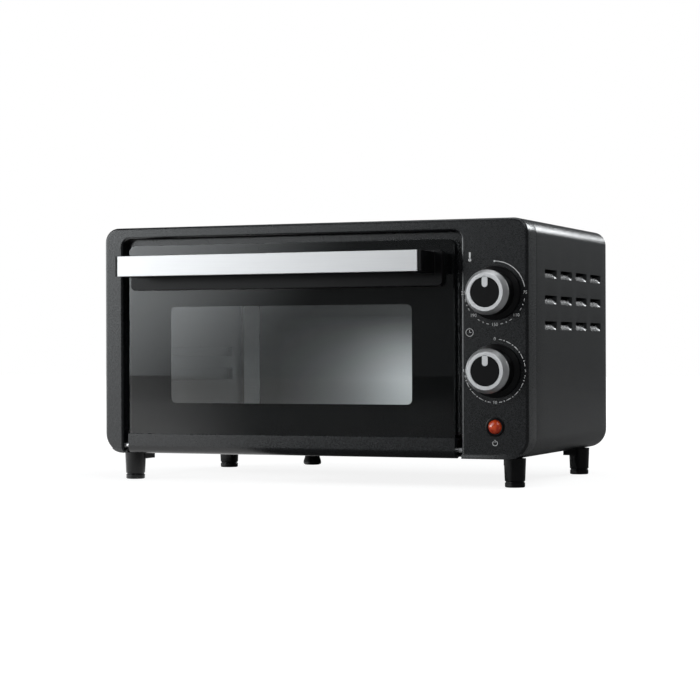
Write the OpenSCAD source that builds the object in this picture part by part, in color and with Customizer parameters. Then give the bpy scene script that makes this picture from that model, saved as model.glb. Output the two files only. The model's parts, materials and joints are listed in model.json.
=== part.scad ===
// Counter-top toaster oven with a drop-down glass door, two dials and a lamp.
// The front faces -Y, +X is to the right and +Z is up.
// The origin is on the table, under the middle of the whole oven.

/* [Body] */
// Width of the body
body_w = 360; // [330:1:440]
// Height of the body above the feet
body_h = 182.5; // [176:0.5:230]
// Depth of the body, from the front frame to the rear panel
body_d = 222.5; // [215:0.5:300]
// Height of the feet under the body
foot_h = 22; // [16:0.5:30]
// Radius of the two upper edges
corner_top_r = 11.5; // [6:0.5:20]
// Radius of the two lower edges
corner_bottom_r = 16; // [8:0.5:22]
// Thickness of the outer steel sheet
sheet_t = 0.8; // [0.6:0.1:1.2]
// Depth of the front frame's side flange
flange_d = 21.5; // [16:0.5:30]
// Width of the seam between the front frame and the cover
seam_w = 0.6; // [0.4:0.1:1.2]

/* [Front frame] */
// Width of the stile to the left of the door
stile_w = 16.6; // [16.2:0.1:26]
// Width of the control panel to the right of the door
panel_w = 53.3; // [50:0.1:80]
// Height of the rail above the door
top_rail_h = 9.4; // [6:0.1:20]
// Corner radius of the door opening
opening_r = 6; // [3:0.5:10]
// Depth of the edge that is folded in around the door opening
return_d = 8; // [6:0.5:10]

/* [Door] */
// Gap at each side of the door glass
door_gap_side = 5.8; // [4:0.1:8]
// Gap above the door glass
door_gap_top = 5.4; // [3:0.1:8]
// Thickness of the door glass
glass_t = 4; // [3:0.5:5]
// Height of the metal rail along the bottom of the door
rail_h = 15.9; // [13:0.1:24]
// Radius of the rolled lower edge of the rail, around the hinge line
rail_roll_r = 6.3; // [5.5:0.1:8]
// Radius of the hinge pins
pin_r = 2; // [1.5:0.1:2.5]

/* [Handle] */
// Distance from the front of the oven to the front of the handle
handle_reach = 40; // [30:0.5:50]
// Height of the grip bar
bar_h = 16; // [12:0.5:24]
// Height of the lower edge of the grip bar above the body's lower edge
bar_z = 141.7; // [130:0.1:146]
// Depth of the grip bar
bar_depth = 10; // [8:0.5:14]
// Length of the metal strip on the grip bar
strip_l = 253; // [200:1:262]
// Thickness of the metal strip
strip_t = 1; // [0.8:0.1:2]

/* [Controls] */
// Distance of the dials from the right side of the body
dial_inset = 26.3; // [24:0.1:32]
// Height of the thermostat dial
temp_z = 125.8; // [122:0.1:134]
// Height of the timer dial
timer_z = 66.9; // [62:0.1:74]
// Height of the pilot lamp
lamp_z = 24.5; // [20:0.1:30]
// Largest radius of a knob's metal ring
knob_r = 17; // [14:0.1:19]
// Length of a knob in front of the panel
knob_l = 24; // [18:0.5:30]

/* [Cavity] */
// Distance from the body's left side to the cavity
cavity_gap_left = 33; // [28:0.5:40]
// Distance from the control panel's edge to the cavity
cavity_gap_right = 16.7; // [14:0.1:24]
// Distance from the top of the body to the cavity
cavity_gap_top = 19.5; // [16:0.5:30]
// Distance from the rear panel to the cavity
cavity_gap_back = 32; // [24:0.5:50]
// Thickness of the cavity's steel sheet
liner_t = 0.6; // [0.5:0.1:1]
// Radius of a heating element
heater_r = 3.2; // [3:0.1:4]

/* [Rack and tray] */
// Radius of the rack's frame wire
rack_frame_r = 2; // [1.5:0.1:2.2]
// Radius of the rack's cross wires
rack_wire_r = 1.2; // [0.8:0.1:1.5]
// Height of the ledges that the rack lies on
ledge_z = 31; // [30:0.5:33]
// Length of the crumb tray from front to back
tray_l = 150; // [110:1:155]

/* [Feet] */
// Radius of a foot where it meets the body
foot_top_r = 8.5; // [7:0.1:10]
// Radius of a foot at the table
foot_bottom_r = 7.7; // [6:0.1:9]
// Distance of the feet from the body's sides
foot_inset = 17; // [16:0.5:24]
// Distance of the front feet from the front
foot_front_y = 20; // [18:0.5:30]
// Distance of the rear feet from the rear panel
foot_back_y = 24; // [18:0.5:40]

/* [Hidden] */
$fn = 64;

// Small clearances
fit = 0.05;          // radial running clearance of a shaft in its hole
loose = 0.3;         // gap between pieces that only lie together
eps = 1;             // how far a cutting shape runs past what it cuts

// Overall places
half_w = body_w / 2;
gland_flange_t = 3;
overall_d = handle_reach + body_d + gland_flange_t;
front_y = handle_reach - overall_d / 2;

// Door opening in the front frame
open_x0 = stile_w - half_w;
open_x1 = half_w - panel_w;
open_top = body_h - top_rail_h;
cover_y0 = flange_d + seam_w;
cover_y1 = body_d - sheet_t;
cover_return = 8;    // how far the cover turns in under the body
floor_z0 = sheet_t;
floor_z1 = 2 * sheet_t;

// Cavity
cav_x0 = cavity_gap_left - half_w;
cav_x1 = open_x1 - cavity_gap_right;
cav_mid = (cav_x0 + cav_x1) / 2;
cav_z1 = body_h - cavity_gap_top;
cav_y0 = return_d + 2 * liner_t;
cav_y1 = body_d - cavity_gap_back;

// Door and its hinge line
door_x0 = open_x0 + door_gap_side;
door_x1 = open_x1 - door_gap_side;
door_top = open_top - door_gap_top;
glass_r = 5;
rail_front = -1;
rail_over = 1;       // how far the rail runs past the glass at each end
rail_back = 8;
rail_t = 1.2;
hinge_y = rail_front + rail_roll_r;
hinge_z = rail_roll_r;
rail_x0 = door_x0 - rail_over;
rail_x1 = door_x1 + rail_over;
pin_in_rail = 12;    // length of a hinge pin inside the rail
bracket_t = 1.5;
bracket_in = 0.3;    // gap between a bracket and the edge of the opening
mouth_z0 = rail_h + 2;
base_y0 = hinge_y + rail_roll_r + 1.2;

// Handle
plate_x0 = door_x0 + 4;
plate_x1 = door_x1 - 7.2;
plate_z0 = bar_z - 10.2;
plate_h = bar_h + 11.6;
plate_t = 5;
plate_r = 4;
bar_mid = (door_x0 + door_x1) / 2 - 1.9;
bar_l = strip_l + 6;
bar_y0 = strip_t - handle_reach;
arm_w = 13;
arm_x = [bar_mid - bar_l / 2 + arm_w / 2 + 2, bar_mid + bar_l / 2 - arm_w / 2 - 2];
arm_z = bar_z + bar_h / 2;
screw_r = 2;
screw_head_r = 4;
screw_head_t = 2;
washer_t = 1;
screw_l = 18;        // length of a handle screw in front of the glass
glass_hole_gap = 0.8;

// Controls
dial_x = half_w - dial_inset;
skirt_r = knob_r + 3.5;
skirt_t = 2.4;
knob_gap = 1;
ring_l = 6.6;
ring_face_r = knob_r - 2.7;
disc_r = knob_r - 5.6;
pointer_w = 4.5;
pointer_l = 7.7;
shaft_r = 3;
shaft_hub_r = 6;
shaft_hole_r = 5;
control_w = 40;
control_h = 40;
thermostat_d = 24;
timer_d = 34;
tab_x = 12;          // place of the thermostat's terminal tabs
tab_z = temp_z + 6.4;
tab_l = 9;
control_screw_x = 11;
control_screw_r = 1.5;
lamp_r = 6.3;
lamp_bezel_r = 7.4;
lamp_bulb_y = 6;
lamp_bulb_l = 13;
lamp_lead_x = 1.5;
lamp_lead_r = 0.4;

// Heaters, ledges and rack
heater_y = [cav_y0 + 42, cav_y1 - 42];
lower_heater_z = 17.5;
upper_heater_z = cav_z1 - 12;
heater_end_gap = 6;  // how far a heater's sheath runs past the cavity wall
terminal_l = 7;      // length of the terminal pin at each end of a heater
terminal_r = 1.4;
shield_x = cav_x1 + heater_end_gap + terminal_l + 2;
bush_r = 6;
bush_flange_r = 8.5;
ledge_w = 6;
ledge_h = 4;
ledge_end = cav_y1 - 17;
groove_depth = 5;
grooves = [[57.7, 67.8], [78, 85.6]];
rack_z = ledge_z + rack_frame_r + loose;
rack_x0 = cav_x0 + 1.5 + rack_frame_r;
rack_x1 = cav_x1 - 1.5 - rack_frame_r;
rack_y0 = hinge_y + 5.7;
rack_y1 = cav_y1 - 8;
rack_pitch = 15;
hook_x = [cav_mid - 4.5 * rack_pitch, cav_mid + 4.5 * rack_pitch];
hook_w = 8;
hook_t = 1.2;

// Crumb tray
tray_x0 = cav_x0 + 12;
tray_x1 = cav_x1 - 12;
tray_y1 = cav_y1 - 6;
tray_y0 = tray_y1 - tray_l;
tray_gap = 0.6;
tray_rim = 6;
knuckle_r = 2.4;
tray_pin_r = 1.2;
tray_hinge_z = floor_z0 + knuckle_r;
knuckle_l = 14;
knuckle_gap = 0.5;
tray_hinge_x = [cav_mid - 70, cav_mid + 70];
tray_knob_y = tray_y0 + 17;
tray_knob_r = 7.1;
tray_knob_h = 10.4;

// Feet
foot_x = half_w - foot_inset;
foot_y1 = body_d - foot_back_y;
foot_groove_z = 4.3;
foot_groove = 0.7;
foot_tongue_l = 17;
foot_tongue_w = 10;
foot_tongue_h = 5.5;
foot_screw_r = 1.8;

// Cord entry in the rear panel
gland_x = half_w - 38;
gland_z = 34;
gland_bore_r = 3.7;
gland_body_r = 6.5;
gland_flange_r = 10;

/* ---------- helpers ---------- */

// Everything is drawn with Y = 0 at the front frame and Z = 0 under the body
module place() {
    translate([0, front_y, foot_h]) children();
}

// Extrudes an outline drawn in X and Z from y to y + len
module along_y(y, len) {
    translate([0, y + len, 0]) rotate([90, 0, 0]) linear_extrude(len) children();
}

// Extrudes an outline drawn in Y and Z from x to x + len
module along_x(x, len) {
    translate([x, 0, 0]) rotate([90, 0, 90]) linear_extrude(len) children();
}

// A block given by its two corners
module block(low, high) {
    translate(low) cube(high - low);
}

module rod_x(x, len, y, z, r) {
    translate([x, y, z]) rotate([0, 90, 0]) cylinder(h = len, r = r);
}

module rod_y(y, len, x, z, r) {
    translate([x, y, z]) rotate([-90, 0, 0]) cylinder(h = len, r = r);
}

module rod_z(z, len, x, y, r) {
    translate([x, y, z]) cylinder(h = len, r = r);
}

// Rectangle with four rounded corners, from its lower left corner
module rounded(w, h, r) {
    translate([r, 0]) square([w - 2 * r, h]);
    translate([0, r]) square([w, h - 2 * r]);
    for (x = [r, w - r], y = [r, h - r]) translate([x, y]) circle(r);
}

// Outline of the body seen from the front, drawn smaller by inset
module body_outline(inset = 0) {
    w = body_w - 2 * inset;
    h = body_h - 2 * inset;
    rt = corner_top_r - inset;
    rb = corner_bottom_r - inset;
    translate([rb - w / 2, inset]) square([w - 2 * rb, h - rt]);
    translate([rt - w / 2, inset + rb]) square([w - 2 * rt, h - rb]);
    translate([-w / 2, inset + rb]) square([w, h - rb - rt]);
    for (s = [-1, 1]) {
        translate([s * (w / 2 - rb), inset + rb]) circle(rb);
        translate([s * (w / 2 - rt), inset + h - rt]) circle(rt);
    }
}

// Door opening, round at its top corners and drawn larger by grow
module opening_outline(grow, bottom) {
    w = open_x1 - open_x0 + 2 * grow;
    r = opening_r + grow;
    h = open_top + grow - bottom;
    translate([open_x0 - grow, bottom]) {
        square([w, h - r]);
        translate([r, 0]) square([w - 2 * r, h]);
        for (x = [r, w - r]) translate([x, h - r]) circle(r);
    }
}

// A tube of the body's outline between two insets
module body_ring(y, len, outer, inner) {
    difference() {
        along_y(y, len) body_outline(outer);
        along_y(y - eps, len + 2 * eps) body_outline(inner);
    }
}

// One point of the ring round p, for a wire that runs along d and never along X
function ring_point(p, d, r, a) =
    let (
        u = cross(d, [1, 0, 0]) / norm(cross(d, [1, 0, 0])),
        v = cross(d, u) / norm(cross(d, u))
    )
    p + r * cos(a) * u + r * sin(a) * v;

function route_dir(route, i) =
    route[min(i + 1, len(route) - 1)] - route[max(i - 1, 0)];

// A round wire swept along a route, with a flat end at each side
module swept(route, r, sides) {
    n = len(route);
    points = [for (i = [0:n - 1], k = [0:sides - 1])
        ring_point(route[i], route_dir(route, i), r, 360 * k / sides)];
    walls = [for (i = [0:n - 2], k = [0:sides - 1])
        [i * sides + k, (i + 1) * sides + k,
         (i + 1) * sides + (k + 1) % sides, i * sides + (k + 1) % sides]];
    first = [[for (k = [0:sides - 1]) k]];
    last = [[for (k = [0:sides - 1]) (n - 1) * sides + sides - 1 - k]];
    polyhedron(points = points, faces = concat(walls, first, last), convexity = 4);
}

/* ---------- shell ---------- */

module control_holes() {
    for (z = [temp_z, timer_z]) {
        rod_y(-eps, sheet_t + 2 * eps, dial_x, z, shaft_hole_r);
        for (s = [-1, 1])
            rod_y(-eps, sheet_t + 2 * eps, dial_x + s * control_screw_x, z, control_screw_r + fit);
    }
    rod_y(-eps, sheet_t + 2 * eps, dial_x, lamp_z, lamp_r + fit);
}

// Pressed steel face with a side flange and a folded edge around the door
module front_frame() {
    color([0.16, 0.165, 0.175]) place() {
        difference() {
            along_y(0, flange_d) body_outline();
            along_y(sheet_t, flange_d) body_outline(sheet_t);
            along_y(-eps, sheet_t + 2 * eps) opening_outline(0, -eps);
            block([open_x0, -eps, -eps], [open_x1, flange_d + eps, sheet_t + eps]);
            control_holes();
        }
        difference() {
            along_y(sheet_t, return_d - sheet_t) opening_outline(sheet_t, mouth_z0);
            along_y(0, return_d + eps) opening_outline(0, 0);
        }
    }
}

// A louvre is cut free along its top and ends, and its blade leans inwards
louvre_l = 32;
louvre_h = 6.6;
louvre_pitch_y = 43.2;
louvre_y0 = 44;
louvre_z = [98.2, 118.2, 138.2];
louvre_count = 4;
louvre_push = 3;
louvre_root = 0.4;   // how far a blade runs down into the sheet below it

module louvre_slot(y, z) {
    block([half_w - 2 * sheet_t, y, z], [half_w + eps, y + louvre_l, z + louvre_h]);
}

module louvre_blade(y, z) {
    x = half_w;
    tip = x - louvre_push;
    along_y(y + loose, louvre_l - 2 * loose) polygon([
        [x, z - louvre_root], [x, z], [tip, z + louvre_h - loose],
        [tip - sheet_t, z + louvre_h - loose], [x - sheet_t, z], [x - sheet_t, z - louvre_root]
    ]);
}

joggle_l = 8;        // how far the cover's tongue runs under the front frame
joggle_gap = 0.2;    // gap between the tongue and the front frame
rear_flange = 18;    // width of the cover's flange behind the rear panel

module every_louvre() {
    for (i = [0:louvre_count - 1], z = louvre_z)
        translate([0, louvre_y0 + i * louvre_pitch_y, z]) children();
}

// Tongue on the cover's sides and top that slips under the front frame
module cover_tongue() {
    outer = sheet_t + joggle_gap;
    inner = outer + sheet_t;
    difference() {
        union() {
            body_ring(cover_y0, joggle_l, sheet_t / 2, inner);
            body_ring(cover_y0 - joggle_l, joggle_l + eps, outer, inner);
        }
        block([-body_w, 0, -eps], [body_w, body_d, corner_bottom_r + eps]);
    }
}

module cover_flange(y) {
    difference() {
        along_y(y, sheet_t) body_outline(sheet_t / 2);
        block([rear_flange - half_w, y - eps, rear_flange],
              [half_w - rear_flange, y + sheet_t + eps, body_h - rear_flange]);
    }
}

// Sheet that wraps over the top and both sides and turns in underneath
module outer_cover() {
    rear_y = cover_y1 - sheet_t;
    gap_x = half_w - corner_bottom_r - cover_return;
    color([0.12, 0.125, 0.13]) place() {
        difference() {
            union() {
                difference() {
                    body_ring(cover_y0, cover_y1 - cover_y0, 0, sheet_t);
                    block([-gap_x, 0, -eps], [gap_x, body_d, 2 * sheet_t]);
                }
                cover_tongue();
                cover_flange(rear_y);
            }
            every_louvre() louvre_slot(0, 0);
            foot_screw_holes(foot_screw_r + fit);
            for (x = rear_screw_x, z = rear_screw_z) rod_y(rear_y - eps, 3, x, z, rear_screw_r);
        }
        every_louvre() louvre_blade(0, 0);
    }
}

// Floor of the body, with the way through for the crumb tray
module base_plate() {
    x1 = half_w - corner_bottom_r;
    hole_y1 = tray_y1 + knuckle_r + tray_gap;
    color([0.35, 0.35, 0.36]) place() {
        difference() {
            block([-x1, base_y0, floor_z0], [x1, cover_y1 - sheet_t - fit, floor_z1]);
            block([tray_x0 - tray_gap, tray_y0 - tray_gap, -eps],
                  [tray_x1 + tray_gap, hole_y1, floor_z1 + eps]);
            foot_screw_holes(foot_screw_r + fit);
        }
        for (x = tray_hinge_x, s = [-1, 1])
            base_knuckle(x + s * (knuckle_l + knuckle_gap), hole_y1);
    }
}

module base_knuckle(x, back) {
    difference() {
        union() {
            rod_x(x - knuckle_l / 2, knuckle_l, tray_y1, tray_hinge_z, knuckle_r);
            block([x - knuckle_l / 2, tray_y1, floor_z0], [x + knuckle_l / 2, back + eps, floor_z1]);
        }
        rod_x(x - knuckle_l, 2 * knuckle_l, tray_y1, tray_hinge_z, tray_pin_r + fit);
    }
}

rear_slot_l = 34;
rear_slot_h = 4;
rear_screw_r = 1.75;
rear_screw_x = [corner_bottom_r - half_w, 0, half_w - corner_bottom_r];
rear_screw_z = [12, body_h - 12];
rear_screw_l = 6;
vent_x = half_w - 47;
vent_z0 = 80;
vent_pitch = 10;

module rear_panel() {
    color([0.14, 0.145, 0.15]) place() difference() {
        along_y(cover_y1, sheet_t) body_outline();
        for (i = [0:5]) rear_slot(vent_x, vent_z0 + i * vent_pitch);
        for (x = [-120, -70, -20, 30], i = [0:1])
            rear_slot(x, body_h - 38 + i * vent_pitch);
        rod_y(cover_y1 - eps, sheet_t + 2 * eps, gland_x, gland_z, gland_body_r + fit);
        for (x = rear_screw_x, z = rear_screw_z)
            rod_y(cover_y1 - eps, sheet_t + 2 * eps, x, z, rear_screw_r + fit);
    }
}

module rear_slot(x, z) {
    block([x - rear_slot_l / 2, cover_y1 - eps, z],
          [x + rear_slot_l / 2, body_d + eps, z + rear_slot_h]);
}

module rear_screws() {
    color([0.55, 0.55, 0.56]) place() for (x = rear_screw_x, z = rear_screw_z) {
        rod_y(body_d, 1.8, x, z, 3.4);
        rod_y(body_d - rear_screw_l, rear_screw_l, x, z, rear_screw_r);
    }
}

/* ---------- cavity ---------- */

// Flat steel frame behind the door's edge, around the mouth of the cavity
module cavity_front() {
    color([0.42, 0.42, 0.43]) place() difference() {
        along_y(return_d, liner_t) opening_outline(sheet_t, mouth_z0);
        block([cav_x0, return_d - eps, 0], [cav_x1, return_d + liner_t + eps, cav_z1]);
    }
}

// A long emboss in a side wall, drawn from x = 0 towards +X
module emboss(depth, y0, y1, z0, z1) {
    difference() {
        block([0, y0 - liner_t, z0 - liner_t], [depth + liner_t, y1 + liner_t, z1 + liner_t]);
        block([-eps, y0, z0], [depth, y1, z1]);
    }
}

// Side wall of the cavity with its grooves, ledge and heater holes.
// It is drawn with the cavity towards -X and is mirrored for the other side.
module liner_side() {
    groove_y0 = cav_y0 + 12;
    difference() {
        union() {
            block([0, cav_y0 - liner_t, mouth_z0], [liner_t, cav_y1, cav_z1]);
            block([0, base_y0, floor_z1], [liner_t, cav_y1, mouth_z0 + eps]);
            for (g = grooves) emboss(groove_depth, groove_y0, ledge_end, g[0], g[1]);
            mirror([1, 0, 0]) translate([-liner_t, 0, 0])
                emboss(ledge_w, cav_y0 + 6, ledge_end, ledge_z - ledge_h, ledge_z - liner_t);
        }
        for (g = grooves)
            block([-eps, groove_y0, g[0]], [liner_t + 0.01, ledge_end, g[1]]);
        for (y = heater_y, z = [lower_heater_z, upper_heater_z])
            rod_x(-eps, liner_t + 2 * eps, y, z, bush_r + fit);
    }
}

module liner_left() {
    color([0.6, 0.6, 0.61]) place()
        translate([cav_x0, 0, 0]) mirror([1, 0, 0]) liner_side();
}

module liner_right() {
    color([0.6, 0.6, 0.61]) place() translate([cav_x1, 0, 0]) liner_side();
}

module liner_top() {
    color([0.6, 0.6, 0.61]) place()
        block([cav_x0 - liner_t, cav_y0 - liner_t, cav_z1],
              [cav_x1 + liner_t, cav_y1 + liner_t, cav_z1 + liner_t]);
}

bead_x = 4;
bead_w = 14.7;

// Back wall with an upright bead at each end
module liner_back() {
    color([0.6, 0.6, 0.61]) place() {
        block([cav_x0 - liner_t, cav_y1, floor_z1], [cav_x1 + liner_t, cav_y1 + liner_t, cav_z1]);
        for (x = [cav_x0 + bead_x, cav_x1 - bead_x - bead_w])
            block([x, cav_y1 - 1, floor_z1], [x + bead_w, cav_y1, cav_z1]);
    }
}

// Bright sheet between the cavity and the controls
module heat_shield() {
    y1 = cav_y1 + 12;
    color([0.72, 0.72, 0.73]) place() {
        block([shield_x, cav_y0 + 4, floor_z1], [shield_x + liner_t, y1, cav_z1 + 8]);
        block([shield_x - 8, cav_y0 + 4, floor_z1], [shield_x, y1, floor_z1 + liner_t]);
    }
}

module heater_rods(z) {
    x = cav_x0 - heater_end_gap;
    l = cav_x1 - cav_x0 + 2 * heater_end_gap;
    for (y = heater_y) {
        rod_x(x, l, y, z, heater_r);
        rod_x(x - terminal_l, l + 2 * terminal_l, y, z, terminal_r);
    }
}

module upper_heaters() {
    color([0.5, 0.48, 0.45]) place() heater_rods(upper_heater_z);
}

module lower_heaters() {
    color([0.5, 0.48, 0.45]) place() heater_rods(lower_heater_z);
}

// Flanged ceramic bush, drawn with its flange inside the cavity at x < 0
module heater_bush() {
    difference() {
        union() {
            rod_x(-2, 2, 0, 0, bush_flange_r);
            rod_x(-eps / 2, 4 + eps / 2, 0, 0, bush_r);
        }
        rod_x(-4, 12, 0, 0, heater_r + fit);
    }
}

module heater_insulators() {
    color([0.92, 0.9, 0.85]) place()
        for (y = heater_y, z = [lower_heater_z, upper_heater_z]) {
            translate([cav_x1, y, z]) heater_bush();
            translate([cav_x0, y, z]) mirror([1, 0, 0]) heater_bush();
        }
}

/* ---------- door ---------- */

module door_glass() {
    z0 = hinge_z + 5.5;
    w = door_x1 - door_x0;
    h = door_top - z0;
    color([0.05, 0.05, 0.055, 0.9]) place() difference() {
        translate([door_x0, 0, z0]) along_y(0, glass_t) {
            square([w, h - glass_r]);
            translate([glass_r, 0]) square([w - 2 * glass_r, h]);
            for (x = [glass_r, w - glass_r]) translate([x, h - glass_r]) circle(glass_r);
        }
        for (x = arm_x) rod_y(-eps, glass_t + 2 * eps, x, arm_z, screw_r + glass_hole_gap);
    }
}

// Outline of the door's lower rail: an upright box that rolls round the hinge
module rail_outline(inset) {
    r = rail_roll_r - inset;
    translate([rail_front + inset, hinge_z])
        square([rail_back - rail_front - 2 * inset, rail_h - hinge_z - (inset > 0 ? rail_t : 0)]);
    translate([hinge_y, hinge_z]) circle(r);
}

module door_rail() {
    slot = glass_t + 2 * 0.25;
    color([0.15, 0.155, 0.165]) place() difference() {
        along_x(rail_x0, rail_x1 - rail_x0) rail_outline(0);
        along_x(rail_x0 + pin_in_rail + 2, rail_x1 - rail_x0 - 2 * pin_in_rail - 4) rail_outline(rail_t);
        block([door_x0 - 0.3, -0.25, hinge_z + 5.2],
              [door_x1 + 0.3, slot - 0.25, rail_h + eps]);
        for (x = [rail_x0 - eps, rail_x1 - pin_in_rail])
            rod_x(x, pin_in_rail + eps, hinge_y, hinge_z, pin_r);
    }
}

// Strip that beds the glass in the rail
module glass_cushion() {
    color([0.1, 0.1, 0.1]) place()
        block([door_x0 + 20, glass_t, hinge_z + 5.6], [door_x1 - 20, glass_t + 1.4, rail_h - rail_t]);
}

// Plate on the glass, two arms and the grip bar, moulded in one
module handle_body() {
    color([0.07, 0.07, 0.075]) place() difference() {
        union() {
            translate([plate_x0, 0, plate_z0])
                along_y(-plate_t, plate_t) rounded(plate_x1 - plate_x0, plate_h, plate_r);
            for (x = arm_x)
                block([x - arm_w / 2, bar_y0 + 1, bar_z], [x + arm_w / 2, -plate_t + 1, bar_z + bar_h]);
            block([bar_mid - bar_l / 2, bar_y0, bar_z], [bar_mid + bar_l / 2, bar_y0 + bar_depth, bar_z + bar_h]);
        }
        for (x = arm_x) rod_y(-screw_l - eps, screw_l + 2 * eps, x, arm_z, screw_r);
    }
}

module handle_strip() {
    color([0.82, 0.82, 0.83]) place()
        block([bar_mid - strip_l / 2, -handle_reach, bar_z], [bar_mid + strip_l / 2, bar_y0, bar_z + bar_h]);
}

module handle_screws() {
    color([0.6, 0.6, 0.6]) place() for (x = arm_x) {
        rod_y(glass_t + washer_t, screw_head_t, x, arm_z, screw_head_r);
        rod_y(-screw_l, screw_l + glass_t + washer_t, x, arm_z, screw_r);
    }
}

module handle_washers() {
    color([0.2, 0.2, 0.2]) place() for (x = arm_x) difference() {
        rod_y(glass_t, washer_t, x, arm_z, screw_head_r + 1);
        rod_y(glass_t - eps, washer_t + 2 * eps, x, arm_z, screw_r);
    }
}

pin_out = 7;         // how far a hinge pin runs outside its bracket
module hinge_pins() {
    color([0.85, 0.85, 0.86]) place() {
        rod_x(open_x0 - bracket_t - pin_out, rail_x0 + pin_in_rail - open_x0 + bracket_t + pin_out,
              hinge_y, hinge_z, pin_r);
        rod_x(rail_x1 - pin_in_rail, open_x1 + bracket_t + pin_out - rail_x1 + pin_in_rail,
              hinge_y, hinge_z, pin_r);
    }
}

// Upright ear behind each side of the opening, with the hinge bore
module hinge_bracket(x) {
    difference() {
        block([x, sheet_t, floor_z1], [x + bracket_t, base_y0 + 14, rail_h + 10]);
        rod_x(x - eps, bracket_t + 2 * eps, hinge_y, hinge_z, pin_r + fit);
    }
}

module hinge_brackets() {
    color([0.6, 0.6, 0.6]) place() {
        hinge_bracket(open_x0 - bracket_t - bracket_in - sheet_t);
        hinge_bracket(open_x1 + bracket_in + sheet_t);
    }
}

spring_wire_r = 0.55;
spring_r = 2.8;
spring_turns = 3;
spring_pitch = 1.2;
spring_steps = 12;

// Coil round a hinge pin, wound along +X, with a leg that bears on the bracket
module door_spring() {
    route = concat(
        [[0.7, 10, -1.5], [0.7, 5, -2.4]],
        [for (i = [0:spring_turns * spring_steps])
            let (a = 360 * i / spring_steps - 90)
            [1.2 + i * spring_pitch / spring_steps, spring_r * cos(a), spring_r * sin(a)]]
    );
    swept(route, spring_wire_r, 6);
}

module door_springs() {
    color([0.7, 0.7, 0.7]) place() {
        translate([open_x1 + bracket_in + sheet_t + bracket_t, hinge_y, hinge_z]) door_spring();
        translate([open_x0 - bracket_in - sheet_t - bracket_t, hinge_y, hinge_z])
            mirror([1, 0, 0]) door_spring();
    }
}

// J-shaped steel hooks on the door that draw the rack forward
module rack_hooks() {
    tip_y = rack_y0 + rack_frame_r + 0.8;
    seat_z = rack_z - rack_frame_r - 4.3;
    color([0.7, 0.7, 0.7]) place() for (x = hook_x) {
        block([x - hook_w / 2, rail_back, hinge_z + rail_roll_r],
              [x + hook_w / 2, rail_back + hook_t, seat_z]);
        block([x - hook_w / 2, rail_back, seat_z - hook_t], [x + hook_w / 2, tip_y + hook_t, seat_z]);
        block([x - hook_w / 2, tip_y, seat_z - hook_t], [x + hook_w / 2, tip_y + hook_t, rack_z + 0.2]);
    }
}

/* ---------- controls ---------- */

// Outline of a knob's metal ring, radius against distance from the panel
module ring_profile() {
    polygon([
        [disc_r, knob_l - ring_l], [knob_r, knob_l - ring_l], [knob_r, knob_l - ring_l + 2],
        [ring_face_r, knob_l], [disc_r, knob_l]
    ]);
}

module pointer(grow, bottom, top) {
    w = pointer_w / 2 + grow;
    tip = disc_r - pointer_l + pointer_w / 2;
    translate([0, tip, bottom]) cylinder(h = top - bottom, r = w);
    translate([-w, tip, bottom]) cube([2 * w, disc_r + 1 - tip, top - bottom]);
}

// Turns a shape drawn round +Z, with +Y up, to stand out from the panel
module on_panel(z) {
    place() translate([dial_x, 0, z]) rotate([90, 0, 0]) children();
}

module knob_ring(z) {
    color([0.8, 0.8, 0.81]) on_panel(z) {
        rotate_extrude() ring_profile();
        pointer(0, knob_l - 1.5, knob_l);
    }
}

// Black knob: skirt, grip, front disc and the hub that grips the shaft
module knob_body(z) {
    back_wall = 2.5;
    color([0.05, 0.05, 0.055]) on_panel(z) difference() {
        union() {
            rotate_extrude() polygon([
                [0, knob_gap], [skirt_r, knob_gap], [skirt_r, knob_gap + skirt_t * 0.5],
                [knob_r - 0.6, knob_gap + skirt_t], [knob_r - 0.6, knob_l - ring_l],
                [disc_r, knob_l - ring_l], [disc_r, knob_l - 0.4], [0, knob_l - 0.4]
            ]);
        }
        difference() {
            translate([0, 0, knob_gap - eps])
                cylinder(h = knob_l - ring_l - back_wall - knob_gap + eps, r = knob_r - 0.6 - 2);
            cylinder(h = knob_l, r = shaft_hub_r);
        }
        translate([0, 0, -eps]) cylinder(h = knob_l - ring_l + eps, r = shaft_r);
        pointer(0, knob_l - 1.5, knob_l + eps);
    }
}

module temp_knob() { knob_body(temp_z); }
module temp_knob_ring() { knob_ring(temp_z); }
module timer_knob() { knob_body(timer_z); }
module timer_knob_ring() { knob_ring(timer_z); }

shaft_back = 12;     // how far a shaft runs inside its switch body

module control_shaft(z) {
    color([0.75, 0.75, 0.76]) on_panel(z)
        translate([0, 0, -shaft_back]) cylinder(h = shaft_back + knob_l - ring_l, r = shaft_r);
}

module thermostat_shaft() { control_shaft(temp_z); }
module timer_shaft() { control_shaft(timer_z); }

// Switch body behind the panel, with the bore for its shaft
module control_box(z, depth, w, h) {
    difference() {
        block([dial_x - w / 2, sheet_t, z - h / 2], [dial_x + w / 2, sheet_t + depth, z + h / 2]);
        rod_y(0, shaft_back + 1, dial_x, z, shaft_r + fit);
        for (s = [-1, 1]) rod_y(0, 7, dial_x + s * control_screw_x, z, control_screw_r);
    }
}

module thermostat_body() {
    color([0.8, 0.78, 0.7]) place() {
        control_box(temp_z, thermostat_d, control_w, 32);
        for (s = [-1, 1])
            translate([dial_x + s * tab_x, sheet_t + thermostat_d, tab_z])
                block([-3, -eps, -0.4], [3, tab_l, 0.4]);
    }
}

module timer_body() {
    color([0.7, 0.7, 0.72]) place() {
        control_box(timer_z, timer_d, control_w, control_h);
        rod_y(sheet_t + timer_d, bell_gap + bell_h + 0.6, dial_x, timer_z, bell_post_r);
    }
}

bell_gap = 2;
bell_h = 5;
bell_r = 16;
bell_t = 0.8;
bell_post_r = 2;

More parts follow.
